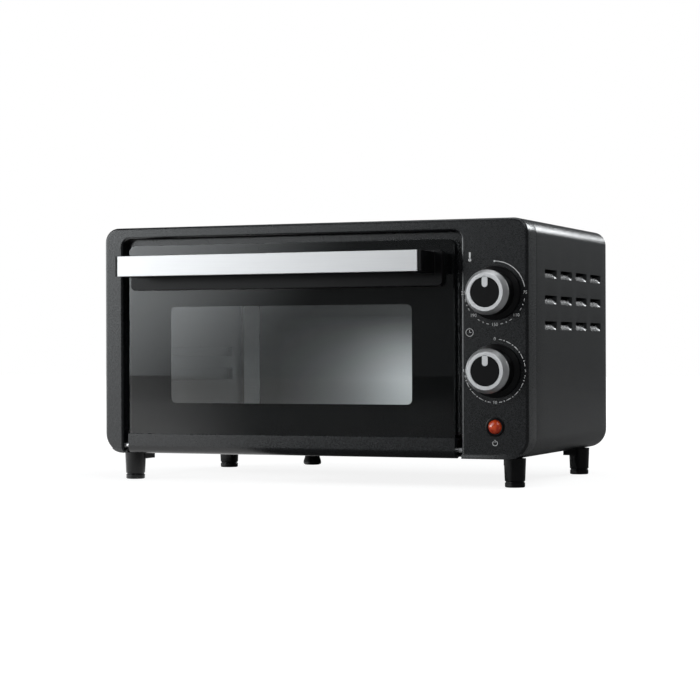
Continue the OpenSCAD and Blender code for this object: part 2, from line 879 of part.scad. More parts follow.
// Shallow bell that the timer strikes, held on a post by its middle
module timer_bell() {
    crown = bell_h - 1.8;
    color([0.75, 0.72, 0.6]) place()
        translate([dial_x, sheet_t + timer_d + bell_gap, timer_z]) rotate([-90, 0, 0]) rotate_extrude()
        polygon([
            [bell_post_r + fit, bell_h], [bell_r / 2, bell_h], [bell_r - 2, crown], [bell_r, 0],
            [bell_r - bell_t, 0], [bell_r - 2 - bell_t, crown - bell_t],
            [bell_r / 2, bell_h - bell_t], [bell_post_r + fit, bell_h - bell_t]
        ]);
}

module control_screws() {
    color([0.75, 0.75, 0.75]) place() for (z = [temp_z, timer_z], s = [-1, 1]) {
        x = dial_x + s * control_screw_x;
        rod_y(-1.3, 1.3, x, z, 2.3);
        rod_y(0, 6.5, x, z, control_screw_r);
    }
}

// Round rim on the panel with a tube behind it that holds the bulb
module lamp_bezel() {
    color([0.06, 0.06, 0.06]) place() difference() {
        union() {
            rod_y(-1.4, 1.4, dial_x, lamp_z, lamp_bezel_r);
            rod_y(-0.5, 24, dial_x, lamp_z, lamp_r);
        }
        rod_y(-lamp_bulb_y - eps, 2 * lamp_bulb_y + lamp_bulb_l + eps, dial_x, lamp_z, lamp_r - 0.8);
        for (s = [-1, 1]) rod_y(lamp_bulb_y, 30, dial_x + s * lamp_lead_x, lamp_z, lamp_lead_r + 0.1);
    }
}

module lamp_lens() {
    color([0.85, 0.13, 0.08, 0.9]) on_panel(lamp_z) rotate_extrude() polygon([
        [0, 3.4], [1.6, 3.2], [3.4, 2.5], [4.8, 1.4], [lamp_r - 0.9, 0],
        [lamp_r - 0.9, -6], [lamp_r - 2, -6], [lamp_r - 2, -0.4], [3, 1.2], [0, 2]
    ]);
}

module lamp_bulb() {
    color([0.95, 0.6, 0.4]) place() {
        rod_y(lamp_bulb_y, lamp_bulb_l, dial_x, lamp_z, 2.6);
        for (s = [-1, 1])
            rod_y(lamp_bulb_y + lamp_bulb_l - eps, 14, dial_x + s * lamp_lead_x, lamp_z, lamp_lead_r);
    }
}

/* ---------- rack and crumb tray ---------- */

module wire_rack() {
    color([0.78, 0.78, 0.78]) place() {
        for (y = [rack_y0, rack_y1])
            rod_x(rack_x0 - rack_frame_r, rack_x1 - rack_x0 + 2 * rack_frame_r, y, rack_z, rack_frame_r);
        for (x = [rack_x0, rack_x1])
            rod_y(rack_y0, rack_y1 - rack_y0, x, rack_z, rack_frame_r, $fn = 12);
        for (i = [-8:8]) if (abs(i * rack_pitch) < (rack_x1 - rack_x0) / 2 - 4)
            rod_y(rack_y0, rack_y1 - rack_y0, cav_mid + i * rack_pitch, rack_z, rack_wire_r, $fn = 8);
    }
}

module tray_knuckle(x, front) {
    difference() {
        union() {
            rod_x(x - knuckle_l / 2, knuckle_l, tray_y1, tray_hinge_z, knuckle_r);
            block([x - knuckle_l / 2, front - eps, floor_z0], [x + knuckle_l / 2, tray_y1, floor_z1]);
        }
        rod_x(x - knuckle_l, 2 * knuckle_l, tray_y1, tray_hinge_z, tray_pin_r + fit);
    }
}

// Shallow pan that swings down on knuckles along its rear edge
module crumb_tray() {
    back = tray_y1 - knuckle_r - 0.5;
    color([0.55, 0.55, 0.56]) place() {
        difference() {
            union() {
                block([tray_x0, tray_y0, floor_z0], [tray_x1, back, floor_z1]);
                block([tray_x0, tray_y0, floor_z0], [tray_x1, tray_y0 + sheet_t, floor_z1 + tray_rim]);
                for (x = [tray_x0, tray_x1 - sheet_t])
                    block([x, tray_y0, floor_z0], [x + sheet_t, back, floor_z1 + tray_rim]);
            }
            rod_z(-eps, 10, cav_mid, tray_knob_y, 2);
        }
        for (x = tray_hinge_x) tray_knuckle(x, back);
    }
}

module tray_hinge_pins() {
    color([0.7, 0.7, 0.7]) place() for (x = tray_hinge_x)
        rod_x(x - 1.5 * knuckle_l - knuckle_gap - 1, 3 * knuckle_l + 2 * knuckle_gap + 2,
              tray_y1, tray_hinge_z, tray_pin_r);
}

// Flared knob under the tray, with a stem and a bead through the sheet
module crumb_tray_knob() {
    color([0.05, 0.05, 0.05]) place() translate([cav_mid, tray_knob_y, floor_z0])
        rotate_extrude() polygon([
            [0, -tray_knob_h], [tray_knob_r - 1.2, -tray_knob_h], [tray_knob_r, -tray_knob_h + 1],
            [tray_knob_r, -tray_knob_h + 3], [tray_knob_r - 1.6, -tray_knob_h + 8],
            [tray_knob_r - 2, 0], [2, 0], [2, sheet_t], [3.5, sheet_t + 0.2],
            [3.5, sheet_t + 1.4], [2, sheet_t + 2.2], [0, sheet_t + 2.2]
        ]);
}

/* ---------- feet ---------- */

module foot_screw_holes(r) {
    for (s = [-1, 1]) {
        rod_z(-eps, 6, s * (foot_x - 4), foot_front_y + foot_tongue_l - 4, r);
        rod_z(-eps, 6, s * (foot_x - 4), foot_y1 - foot_tongue_l + 4, r);
    }
}

// Tapered foot with a groove near the table, and a tongue that takes a screw.
// dir is the way the tongue points along Y, and side is the side of the body.
module foot(side, y, dir) {
    screw_y = dir * (foot_tongue_l - 4);
    groove_r = foot_bottom_r - foot_groove;
    color([0.05, 0.05, 0.05]) place() translate([side * foot_x, y, 0]) difference() {
        union() {
            rotate_extrude() polygon([
                [0, -foot_h], [foot_bottom_r - 0.6, -foot_h], [foot_bottom_r, -foot_h + 0.6],
                [foot_bottom_r, -foot_h + foot_groove_z - 0.8],
                [groove_r, -foot_h + foot_groove_z - 0.4], [groove_r, -foot_h + foot_groove_z + 0.2],
                [foot_bottom_r + 0.1, -foot_h + foot_groove_z + 0.6],
                [foot_top_r, 0], [0, 0]
            ]);
            block([-side * 4 - foot_tongue_w / 2, min(0, dir * foot_tongue_l), -foot_tongue_h],
                  [-side * 4 + foot_tongue_w / 2, max(0, dir * foot_tongue_l), 0]);
        }
        rod_z(-foot_tongue_h - eps, foot_tongue_h + 2 * eps, -side * 4, screw_y, foot_screw_r + fit);
        rod_z(-foot_tongue_h - eps, 2.2 + eps, -side * 4, screw_y, 3.4);
    }
}

module foot_front_left() { foot(-1, foot_front_y, 1); }
module foot_front_right() { foot(1, foot_front_y, 1); }
module foot_rear_left() { foot(-1, foot_y1, -1); }
module foot_rear_right() { foot(1, foot_y1, -1); }

module foot_screws() {
    color([0.55, 0.55, 0.56]) place() for (s = [-1, 1], e = [0, 1]) {
        x = s * (foot_x - 4);
        y = (e == 0) ? foot_front_y + foot_tongue_l - 4 : foot_y1 - foot_tongue_l + 4;
        rod_z(-foot_tongue_h + 0.4, 1.8, x, y, 3.2);
        rod_z(-foot_tongue_h + 1, foot_tongue_h + 4, x, y, foot_screw_r);
    }
}

/* ---------- electrics ---------- */

terminal_z = 50;
post_x = 6;
post_y = cover_y1 - 14;

// Ceramic block on the rear panel where the supply is joined to the wiring
module terminal_block() {
    color([0.9, 0.88, 0.82]) place() {
        block([gland_x - 12, cover_y1 - 12, terminal_z], [gland_x + 12, cover_y1, terminal_z + 16]);
        for (s = [-1, 1]) rod_y(post_y, 3, gland_x + s * post_x, terminal_z + 8, 2.6);
    }
}

// Bush in the rear panel with the hole for the supply cord
module cord_gland() {
    color([0.05, 0.05, 0.05]) place() difference() {
        union() {
            rod_y(body_d, gland_flange_t, gland_x, gland_z, gland_flange_r);
            rod_y(cover_y1 - 8, 8 + sheet_t + 0.5, gland_x, gland_z, gland_body_r);
        }
        rod_y(cover_y1 - 12, 20, gland_x, gland_z, gland_bore_r);
    }
}

// Each wire runs from a post to a switch body, and its ends lie square to both
wire_r = 1.1;
wire_gap = 0.2;
timer_end_y = sheet_t + timer_d + wire_gap;
thermostat_end_y = sheet_t + thermostat_d + tab_l + wire_gap;
wire_route_timer = [
    [gland_x - post_x, post_y - wire_gap, 58], [gland_x - post_x, 204, 58], [gland_x - 6, 196, 60],
    [gland_x - 4, 180, 66], [gland_x - 4, 150, 70], [gland_x - 2, 110, 74], [gland_x, 80, 79],
    [gland_x + 4, 60, 84], [gland_x + 6, 48, 85], [gland_x + 6, 38, 85], [gland_x + 6, timer_end_y, 85]
];
wire_route_temp = [
    [gland_x + post_x, post_y - wire_gap, 58], [gland_x + post_x, 204, 58], [gland_x + 6, 196, 62],
    [gland_x + 8, 176, 84], [gland_x + 10, 140, 106], [gland_x + 14, 100, 122], [gland_x + 20, 60, 130],
    [dial_x + tab_x, 44, tab_z], [dial_x + tab_x, 38, tab_z], [dial_x + tab_x, thermostat_end_y, tab_z]
];

module internal_wiring() {
    color([0.85, 0.82, 0.75]) place() {
        swept(wire_route_timer, wire_r, 8);
        swept(wire_route_temp, wire_r, 8);
    }
}

/* ---------- drawing ---------- */

front_frame();
outer_cover();
base_plate();
rear_panel();
cavity_front();
liner_left();
liner_right();
liner_top();
liner_back();
heat_shield();
hinge_brackets();
door_springs();
door_glass();
door_rail();
glass_cushion();
handle_body();
handle_strip();
handle_screws();
handle_washers();
hinge_pins();
rack_hooks();
temp_knob();
temp_knob_ring();
thermostat_shaft();
thermostat_body();
timer_knob();
timer_knob_ring();
timer_shaft();
timer_body();
timer_bell();
control_screws();
lamp_bezel();
lamp_lens();
lamp_bulb();
upper_heaters();
lower_heaters();
heater_insulators();
wire_rack();
crumb_tray();
crumb_tray_knob();
tray_hinge_pins();
terminal_block();
cord_gland();
internal_wiring();
foot_front_left();
foot_front_right();
foot_rear_left();
foot_rear_right();
foot_screws();
rear_screws();
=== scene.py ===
# %% [markdown]
# A counter-top toaster oven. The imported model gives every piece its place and
# its motion. This lesson gives the visible pieces their rounded edges, drawn
# louvres, printed dials and finishes. Everything is in metres.

# %% Load the frame
import json
import math
import bmesh
import bpy
from mathutils import Matrix, Vector


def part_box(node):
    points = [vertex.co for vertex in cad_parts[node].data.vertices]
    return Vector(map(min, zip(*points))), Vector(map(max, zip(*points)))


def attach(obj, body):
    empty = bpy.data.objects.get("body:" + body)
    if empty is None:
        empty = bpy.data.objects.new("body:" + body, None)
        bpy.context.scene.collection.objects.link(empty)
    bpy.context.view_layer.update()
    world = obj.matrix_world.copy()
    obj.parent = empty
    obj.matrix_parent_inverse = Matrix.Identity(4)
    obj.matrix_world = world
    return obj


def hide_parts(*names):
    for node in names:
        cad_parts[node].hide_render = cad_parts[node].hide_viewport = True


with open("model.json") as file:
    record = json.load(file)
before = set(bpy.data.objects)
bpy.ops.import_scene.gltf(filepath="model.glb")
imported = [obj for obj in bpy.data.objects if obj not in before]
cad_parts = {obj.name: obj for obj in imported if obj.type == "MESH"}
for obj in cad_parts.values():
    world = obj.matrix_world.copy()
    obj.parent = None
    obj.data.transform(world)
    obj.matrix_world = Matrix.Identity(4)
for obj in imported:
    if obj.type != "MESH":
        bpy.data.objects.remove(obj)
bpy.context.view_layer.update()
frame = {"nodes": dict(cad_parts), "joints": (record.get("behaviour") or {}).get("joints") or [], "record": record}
nodes = frame["nodes"]
record = frame["record"]
MM = 0.001
slot_of = {part["node"]: part["material_slot"] for part in record["subparts"]}
body_of = {node: body for body, members in record["behaviour"]["bodies"].items() for node in members}
joint_at = {joint["name"]: Vector(joint["pos_m"]) for joint in frame["joints"] if "pos_m" in joint}
print("loaded", len(nodes), "pieces")

# %% [markdown]
# The places that the new pieces need are read from the boxes of the packed
# pieces, so nothing is measured twice.

# %% Places
frame_low, frame_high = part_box("front_frame")
cover_low, cover_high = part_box("outer_cover")
glass_low, glass_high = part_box("door_glass")
rack_low, rack_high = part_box("wire_rack")
front_y = frame_low.y
body_z = frame_low.z
temp_at = joint_at["temp_turn"]
timer_at = joint_at["timer_turn"]
lamp_low, lamp_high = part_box("lamp_bezel")
lamp_at = (lamp_low + lamp_high) / 2
print("front face at", round(front_y, 4), "body from", round(body_z, 4))

# %% [markdown]
# The camera stands in front of the oven and to its right, about level with the
# middle of the body, and far enough away for a long lens. A long lens keeps
# parallel edges almost parallel, as product pictures do.

# %% Camera
camera_data = bpy.data.cameras.new("camera")
camera_data.lens = 105.9
camera_data.sensor_width = 36
camera_data.clip_end = 20
camera = bpy.data.objects.new("camera", camera_data)
camera.location = (0.6388, -1.5736, 0.105)
camera.rotation_euler = (math.radians(90), math.radians(0.18), math.radians(22.16))
bpy.context.scene.collection.objects.link(camera)
bpy.context.scene.camera = camera

# %% [markdown]
# Finishes are node trees. Every one starts from a Principled shader, and helpers
# add what most of them need: a noise that reads Object coordinates in metres, a
# bump that turns it into relief, and a spread of roughness or colour along it.


# %% Helpers for the finishes
def new_finish(name, colour, roughness, metallic=0.0, specular=0.5):
    material = bpy.data.materials.new(name)
    material.use_nodes = True
    tree = material.node_tree
    shader = tree.nodes["Principled BSDF"]
    shader.inputs["Base Color"].default_value = (*colour, 1)
    shader.inputs["Roughness"].default_value = roughness
    shader.inputs["Metallic"].default_value = metallic
    shader.inputs["Specular IOR Level"].default_value = specular
    return material, tree, shader


def stretched_noise(tree, scale, detail=3.0, stretch=(1, 1, 1)):
    place = tree.nodes.new("ShaderNodeTexCoord")
    mapping = tree.nodes.new("ShaderNodeMapping")
    mapping.inputs["Scale"].default_value = stretch
    noise = tree.nodes.new("ShaderNodeTexNoise")
    noise.inputs["Scale"].default_value = scale
    noise.inputs["Detail"].default_value = detail
    tree.links.new(place.outputs["Object"], mapping.inputs["Vector"])
    tree.links.new(mapping.outputs["Vector"], noise.inputs["Vector"])
    return noise.outputs["Fac"]


def add_bump(tree, shader, height, strength, distance):
    bump = tree.nodes.new("ShaderNodeBump")
    bump.inputs["Strength"].default_value = strength
    bump.inputs["Distance"].default_value = distance
    tree.links.new(height, bump.inputs["Height"])
    tree.links.new(bump.outputs["Normal"], shader.inputs["Normal"])


def spread(tree, value, low, high, edge=(0.35, 0.65)):
    """A value between low and high that follows a noise."""
    turn = tree.nodes.new("ShaderNodeMapRange")
    turn.inputs["From Min"].default_value = edge[0]
    turn.inputs["From Max"].default_value = edge[1]
    turn.inputs["To Min"].default_value = low
    turn.inputs["To Max"].default_value = high
    tree.links.new(value, turn.inputs["Value"])
    return turn.outputs["Result"]


def blend_colours(tree, shader, value, dark, light, edge=(0.35, 0.65)):
    ramp = tree.nodes.new("ShaderNodeValToRGB")
    ramp.color_ramp.elements[0].position = edge[0]
    ramp.color_ramp.elements[0].color = (*dark, 1)
    ramp.color_ramp.elements[1].position = edge[1]
    ramp.color_ramp.elements[1].color = (*light, 1)
    tree.links.new(value, ramp.inputs["Fac"])
    tree.links.new(ramp.outputs["Color"], shader.inputs["Base Color"])


# %% [markdown]
# Painted sheet. The front has a fine hammered grain, which breaks up the
# reflection of the lamps, and the cover a smoother satin coat of the same
# black. The grain is a noise of under a millimetre, used for relief and, a
# little, for colour.


# %% Paints
def hammered_paint(name, dark, light, roughness, grain, relief):
    material, tree, shader = new_finish(name, light, roughness)
    fine = stretched_noise(tree, grain, 2.0)
    blend_colours(tree, shader, fine, dark, light)
    tree.links.new(spread(tree, fine, roughness - 0.05, roughness + 0.08), shader.inputs["Roughness"])
    add_bump(tree, shader, fine, 0.5, relief)
    return material


finishes = {}
finishes["frame_paint"] = hammered_paint(
    "frame_paint", (0.003, 0.0034, 0.004), (0.007, 0.0077, 0.009), 0.24, 2000, 0.00005)
finishes["cover_paint"] = hammered_paint(
    "cover_paint", (0.005, 0.0056, 0.0064), (0.0075, 0.0083, 0.0092), 0.26, 2200, 0.00003)

# %% [markdown]
# Bare metals. Galvanised sheet has a fine even grain, plated sheet broader
# soft blotches, and brushed metal a grain along one direction, so its noise is
# stretched along X. Colour, roughness and relief all follow the same noise.


# %% Metals
def metal(name, colour, roughness, scale=60, stretch=(1, 1, 1), relief=0.00002, uneven=0.08):
    material, tree, shader = new_finish(name, colour, roughness, metallic=1.0)
    value = stretched_noise(tree, scale, 4.0, stretch)
    dark = tuple(channel * (1 - 2 * uneven) for channel in colour)
    blend_colours(tree, shader, value, dark, colour)
    tree.links.new(spread(tree, value, roughness, roughness + 0.1), shader.inputs["Roughness"])
    add_bump(tree, shader, value, 0.3, relief)
    return material


finishes["plated_steel"] = metal("plated_steel", (0.42, 0.42, 0.43), 0.42, 90)
finishes["bright_sheet"] = metal("bright_sheet", (0.8, 0.8, 0.81), 0.3, 40)
finishes["spring_steel"] = metal("spring_steel", (0.5, 0.5, 0.5), 0.35, 200)
finishes["brushed_metal"] = metal(
    "brushed_metal", (0.6, 0.6, 0.605), 0.36, 2600, (0.01, 1, 1), 0.00002, 0.03)
finishes["zinc_screw"] = metal("zinc_screw", (0.62, 0.62, 0.63), 0.32, 400)
finishes["bright_pin"] = metal("bright_pin", (0.8, 0.8, 0.81), 0.2, 300)
finishes["silver_ring"] = metal(
    "silver_ring", (0.64, 0.64, 0.645), 0.42, 1800, relief=0.00004, uneven=0.03)
finishes["bell_brass"] = metal("bell_brass", (0.7, 0.58, 0.33), 0.3, 120)
finishes["heater_steel"] = metal("heater_steel", (0.3, 0.28, 0.26), 0.5, 260)
finishes["chrome_wire"] = metal("chrome_wire", (0.78, 0.78, 0.79), 0.14, 300)
print("metals:", len(finishes) - 2)

# %% [markdown]
# Cavity sheet. The closed cavity is darkest toward its top and its left. That
# shade is painted into the finish: the colour of the sheet is multiplied by a
# smooth fall toward the top, and by another toward the left. The beads in the
# corners get a copy of the sheet with less painted shade, so they look lit.


# %% Shaded sheet of the cavity
def darken(material, axis, start, stop, least):
    """Multiply a finish by a smooth fall from 1 at start to least at stop, along an axis."""
    tree = material.node_tree
    shader = tree.nodes["Principled BSDF"]
    place = tree.nodes.new("ShaderNodeTexCoord")
    mapping = tree.nodes.new("ShaderNodeMapping")
    split = tree.nodes.new("ShaderNodeSeparateXYZ")
    fall = tree.nodes.new("ShaderNodeMapRange")
    fall.inputs["From Min"].default_value = start
    fall.inputs["From Max"].default_value = stop
    fall.inputs["To Min"].default_value = 1.0
    fall.inputs["To Max"].default_value = least
    shade = tree.nodes.new("ShaderNodeVectorMath")
    shade.operation = "SCALE"
    tree.links.new(place.outputs["Object"], mapping.inputs["Vector"])
    tree.links.new(mapping.outputs["Vector"], split.inputs["Vector"])
    tree.links.new(split.outputs[axis], fall.inputs["Value"])
    tree.links.new(shader.inputs["Base Color"].links[0].from_socket, shade.inputs[0])
    tree.links.new(fall.outputs["Result"], shade.inputs["Scale"])
    tree.links.new(shade.outputs["Vector"], shader.inputs["Base Color"])


finishes["cavity_steel"] = metal("cavity_steel", (0.95, 0.955, 0.955), 0.4, 900, uneven=0.04)
# painted shade on the cavity sheet: darker toward the top and toward the left
darken(finishes["cavity_steel"], "Z", 0.08, 0.135, 0.07)
darken(finishes["cavity_steel"], "X", 0.0, -0.11, 0.2)
# the beads' copy of the sheet: weaker painted shade, only toward the top, so the beads look lit
finishes["bead_steel_less_shade"] = metal("bead_steel_less_shade", (0.95, 0.955, 0.955), 0.35, 900, uneven=0.04)
darken(finishes["bead_steel_less_shade"], "Z", 0.09, 0.15, 0.3)
print("cavity finishes ready")

# %% [markdown]
# Plastics, ceramic and woven sleeve. Moulded plastic has a faint grain; the
# ceramic is unglazed, so it is rough and slightly mottled.


# %% Plastics and ceramics
def moulded(name, colour, roughness, scale=1500, relief=0.00005, uneven=0.25, specular=0.5):
    material, tree, shader = new_finish(name, colour, roughness, specular=specular)
    value = stretched_noise(tree, scale, 3.0)
    dark = tuple(channel * (1 - uneven) for channel in colour)
    blend_colours(tree, shader, value, dark, colour)
    add_bump(tree, shader, value, 0.35, relief)
    return material


finishes["black_rubber"] = moulded("black_rubber", (0.02, 0.02, 0.02), 0.7, 900)
finishes["black_plastic"] = moulded("black_plastic", (0.004, 0.004, 0.0045), 0.28, specular=0.2)
finishes["foot_plastic"] = moulded("foot_plastic", (0.0035, 0.0035, 0.004), 0.25, 1200, specular=0.25)
finishes["switch_body"] = moulded("switch_body", (0.6, 0.56, 0.45), 0.5, 300)
finishes["ceramic"] = moulded("ceramic", (0.82, 0.8, 0.74), 0.6, 250, 0.0001, 0.08)
finishes["wire_sleeve"] = moulded("wire_sleeve", (0.72, 0.69, 0.6), 0.8, 2500, 0.0002, 0.3)
finishes["print_white"] = moulded("print_white", (0.92, 0.92, 0.92), 0.5, 800, 0.00001, 0.03)
finishes["print_black"] = moulded(
    "print_black", (0.005, 0.0053, 0.006), 0.2, 500, 0.00001, 0.1, specular=1.0)
print_shader = finishes["print_black"].node_tree.nodes["Principled BSDF"]
print_shader.inputs["IOR"].default_value = 1.9
print("plastics, ceramic and prints ready")

# %% [markdown]
# Glass that shuts off a lit space has to let the lamps through. A Principled
# shader with full transmission draws what the eye sees, and a Transparent
# shader takes over for shadow rays, so light reaches the cavity.


# %% Glass and the lamp's plastic
def clear(name, colour, roughness, passed):
    material, tree, shader = new_finish(name, colour, roughness)
    shader.inputs["Transmission Weight"].default_value = 1.0
    shader.inputs["IOR"].default_value = 1.5
    faint = stretched_noise(tree, 4, 2.0)
    add_bump(tree, shader, faint, 0.05, 0.0001)
    through = tree.nodes.new("ShaderNodeBsdfTransparent")
    through.inputs["Color"].default_value = (*passed, 1)
    path = tree.nodes.new("ShaderNodeLightPath")
    mix = tree.nodes.new("ShaderNodeMixShader")
    tree.links.new(path.outputs["Is Shadow Ray"], mix.inputs["Fac"])
    tree.links.new(shader.outputs["BSDF"], mix.inputs[1])
    tree.links.new(through.outputs["BSDF"], mix.inputs[2])
    tree.links.new(mix.outputs["Shader"], tree.nodes["Material Output"].inputs["Surface"])
    return material


finishes["door_glass"] = clear("door_glass", (0.84, 0.86, 0.86), 0.0, (0.84, 0.86, 0.86))
finishes["neon_bulb"] = clear("neon_bulb", (1.0, 0.75, 0.6), 0.05, (1.0, 0.8, 0.7))
lens_material, lens_tree, lens_shader = new_finish("lamp_red", (0.75, 0.06, 0.015), 0.2)
lens_shader.inputs["Coat Weight"].default_value = 0.25
lens_shader.inputs["Subsurface Weight"].default_value = 0.25
lens_shader.inputs["Subsurface Radius"].default_value = (0.004, 0.001, 0.0005)
lens_shader.inputs["Subsurface Scale"].default_value = 1.0
lens_grain = stretched_noise(lens_tree, 350)
blend_colours(lens_tree, lens_shader, lens_grain, (0.55, 0.035, 0.01), (0.85, 0.1, 0.02))
finishes["lamp_red"] = lens_material

# %% [markdown]
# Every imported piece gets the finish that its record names. The pieces made
# below replace most of them, and take their finishes from the same table.

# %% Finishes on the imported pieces
for node, part in nodes.items():
    part.data.materials.clear()
    part.data.materials.append(finishes[slot_of[node]])
print("made", len(finishes), "finishes")

# %% [markdown]
# Helpers turn shapes into pieces. make_piece makes the object, shades it and
# lets it ride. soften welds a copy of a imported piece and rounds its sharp
# edges. spun turns a profile round an axis, as a lathe does. outline,
# pull_back and thicken draw pressed sheet: a face, its folded rim, its wall.


# %% Helpers for the pieces
def make_piece(shape, name, node, replaces=True, finish=None, angle=32):
    """Turn a shape into a shaded object that rides on its node's body."""
    bmesh.ops.recalc_face_normals(shape, faces=shape.faces)
    mesh = bpy.data.meshes.new(name)
    shape.to_mesh(mesh)
    shape.free()
    for face in mesh.polygons:
        face.use_smooth = True
    mesh.set_sharp_from_angle(angle=math.radians(angle))
    piece = bpy.data.objects.new(name, mesh)
    bpy.context.scene.collection.objects.link(piece)
    level = piece.modifiers.new("even", "WEIGHTED_NORMAL")
    level.keep_sharp = True
    mesh.materials.append(finishes[finish or slot_of[node]])
    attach(piece, body_of[node])
    if replaces:
        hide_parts(node)
    return piece


def sharp_edges(shape, angle=35):
    """The edges whose two faces meet at more than angle, in degrees."""
    limit = math.radians(angle)
    return [edge for edge in shape.edges
            if len(edge.link_faces) == 2 and edge.calc_face_angle(0) > limit]


def round_edges(shape, edges, width, segments=2):
    """Round the given edges with a bevel of the given width."""
    bmesh.ops.bevel(shape, geom=edges, offset=width, offset_type="OFFSET", segments=segments,
                    profile=0.5, affect="EDGES", clamp_overlap=True, material=-1)


def soften(node, width, segments=2):
    """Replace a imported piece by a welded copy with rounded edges."""
    shape = bmesh.new()
    shape.from_mesh(nodes[node].data)
    bmesh.ops.remove_doubles(shape, verts=shape.verts, dist=0.00001)
    bmesh.ops.dissolve_limit(shape, angle_limit=math.radians(1), verts=shape.verts, edges=shape.edges)
    round_edges(shape, sharp_edges(shape), width, segments)
    return make_piece(shape, node + "_finished", node)


def spun(profile, centre, axis=Vector((0, -1, 0)), steps=96):
    """A closed shape of revolution. profile is (radius, distance along axis), in millimetres."""
    shape = bmesh.new()
    side = Vector((1, 0, 0))
    verts = [shape.verts.new(centre + side * r * MM + axis * h * MM) for r, h in profile]
    edges = [shape.edges.new(pair) for pair in zip(verts, verts[1:])]
    bmesh.ops.spin(shape, geom=verts + edges, cent=centre, axis=axis, dvec=(0, 0, 0),
                   angle=2 * math.pi, steps=steps, use_merge=True)
    bmesh.ops.remove_doubles(shape, verts=shape.verts, dist=0.000002)
    return shape


def rod(shape, start, end, radius, sides=20):
    """A closed round bar between two points."""
    start, end = Vector(start), Vector(end)
    along = end - start
    turn = along.to_track_quat("Z", "Y").to_matrix().to_4x4()
    bmesh.ops.create_cone(shape, cap_ends=True, segments=sides, radius1=radius, radius2=radius,
                          depth=along.length, matrix=Matrix.Translation((start + end) / 2) @ turn)


def outline(shape, corners, y):
    """An upright face whose corners are (x, z, radius), rounded by a vertex bevel."""
    verts = [shape.verts.new((x, y, z)) for x, z, radius in corners]
    face = shape.faces.new(verts)
    for vert, (x, z, radius) in zip(verts, corners):
        if radius > 0:
            bmesh.ops.bevel(shape, geom=[vert], offset=radius, offset_type="OFFSET", segments=10,
                            profile=0.5, affect="VERTICES", clamp_overlap=False, material=-1)
    shape.faces.ensure_lookup_table()
    return shape.faces[0]


def pull_back(shape, edges, depth):
    """Extrude open edges backward and return the new open rim."""
    made = bmesh.ops.extrude_edge_only(shape, edges=edges)["geom"]
    verts = [item for item in made if isinstance(item, bmesh.types.BMVert)]
    bmesh.ops.translate(shape, verts=verts, vec=(0, depth, 0))
    return [item for item in made if isinstance(item, bmesh.types.BMEdge)
            and len(item.link_faces) == 1]


def thicken(piece, thickness, offset=-1):
    """Give a sheet its wall, inward by default, and shade its flat faces flat."""
    piece.modifiers.clear()
    wall = piece.modifiers.new("wall", "SOLIDIFY")
    wall.thickness = thickness
    wall.offset = offset
    wall.use_even_offset = True
    level = piece.modifiers.new("even", "WEIGHTED_NORMAL")
    level.keep_sharp = True


# %% [markdown]
# The front is one pressing: a flat face with a notch for the door, folded
# back round its rim. It starts as one face, its open rim is pulled back in
# two steps, because the folded edge round the door is shorter than the rim,
# and the edges of the face are rounded with a bevel, which starts a little
# above the narrow feet of the two stiles. Solidify then gives the sheet.

# %% Front frame
SHEET = 0.8 * MM
FRONT_RADIUS = 2.2 * MM
BODY_TOP_R = 11.5 * MM
BODY_LOW_R = 16 * MM
OPENING_R = 6 * MM
RETURN_DEPTH = 8 * MM
SIDE_GAP = 5.8 * MM
TOP_GAP = 5.4 * MM
ROUND_FROM = 4 * MM
open_left = glass_low.x - SIDE_GAP
open_right = glass_high.x + SIDE_GAP
open_top = glass_high.z + TOP_GAP
shape = bmesh.new()
outline(shape, [
    (frame_low.x, frame_low.z, BODY_LOW_R), (open_left, frame_low.z, 0),
    (open_left, open_top, OPENING_R), (open_right, open_top, OPENING_R), (open_right, frame_low.z, 0),
    (frame_high.x, frame_low.z, BODY_LOW_R), (frame_high.x, frame_high.z, BODY_TOP_R),
    (frame_low.x, frame_high.z, BODY_TOP_R)], front_y)
rim = pull_back(shape, list(shape.edges), RETURN_DEPTH)


def in_notch(vert):
    """Whether a vertex lies on the edge of the door's notch."""
    slack = 0.02 * MM
    return open_left - slack < vert.co.x < open_right + slack and vert.co.z < open_top + slack


outer_rim = [edge for edge in rim if not all(in_notch(vert) for vert in edge.verts)]
pull_back(shape, outer_rim, frame_high.y - front_y - RETURN_DEPTH)
round_from = body_z + ROUND_FROM
bmesh.ops.bisect_plane(shape, geom=shape.verts[:] + shape.edges[:] + shape.faces[:],
                       plane_co=(0, 0, round_from), plane_no=(0, 0, 1))
corner_edges = [edge for edge in sharp_edges(shape, 60)
                if all(abs(vert.co.y - front_y) < MM / 10 for vert in edge.verts)
                and sum(vert.co.z for vert in edge.verts) / 2 > round_from]
round_edges(shape, corner_edges, FRONT_RADIUS, 4)
front = make_piece(shape, "front_frame_pressed", "front_frame", angle=40)
thicken(front, SHEET)
print("front frame:", len(front.data.polygons), "faces")

# %% [markdown]
# The cover wraps over the top and both sides. Its louvres are drawn, not
# only cut: each is slit along its top, and the metal below the slit is pushed
# in, most in the middle, so both ends stay closed. The wall is cut into small
# cells there, the slit is a split edge, and a smooth rule moves the cells.

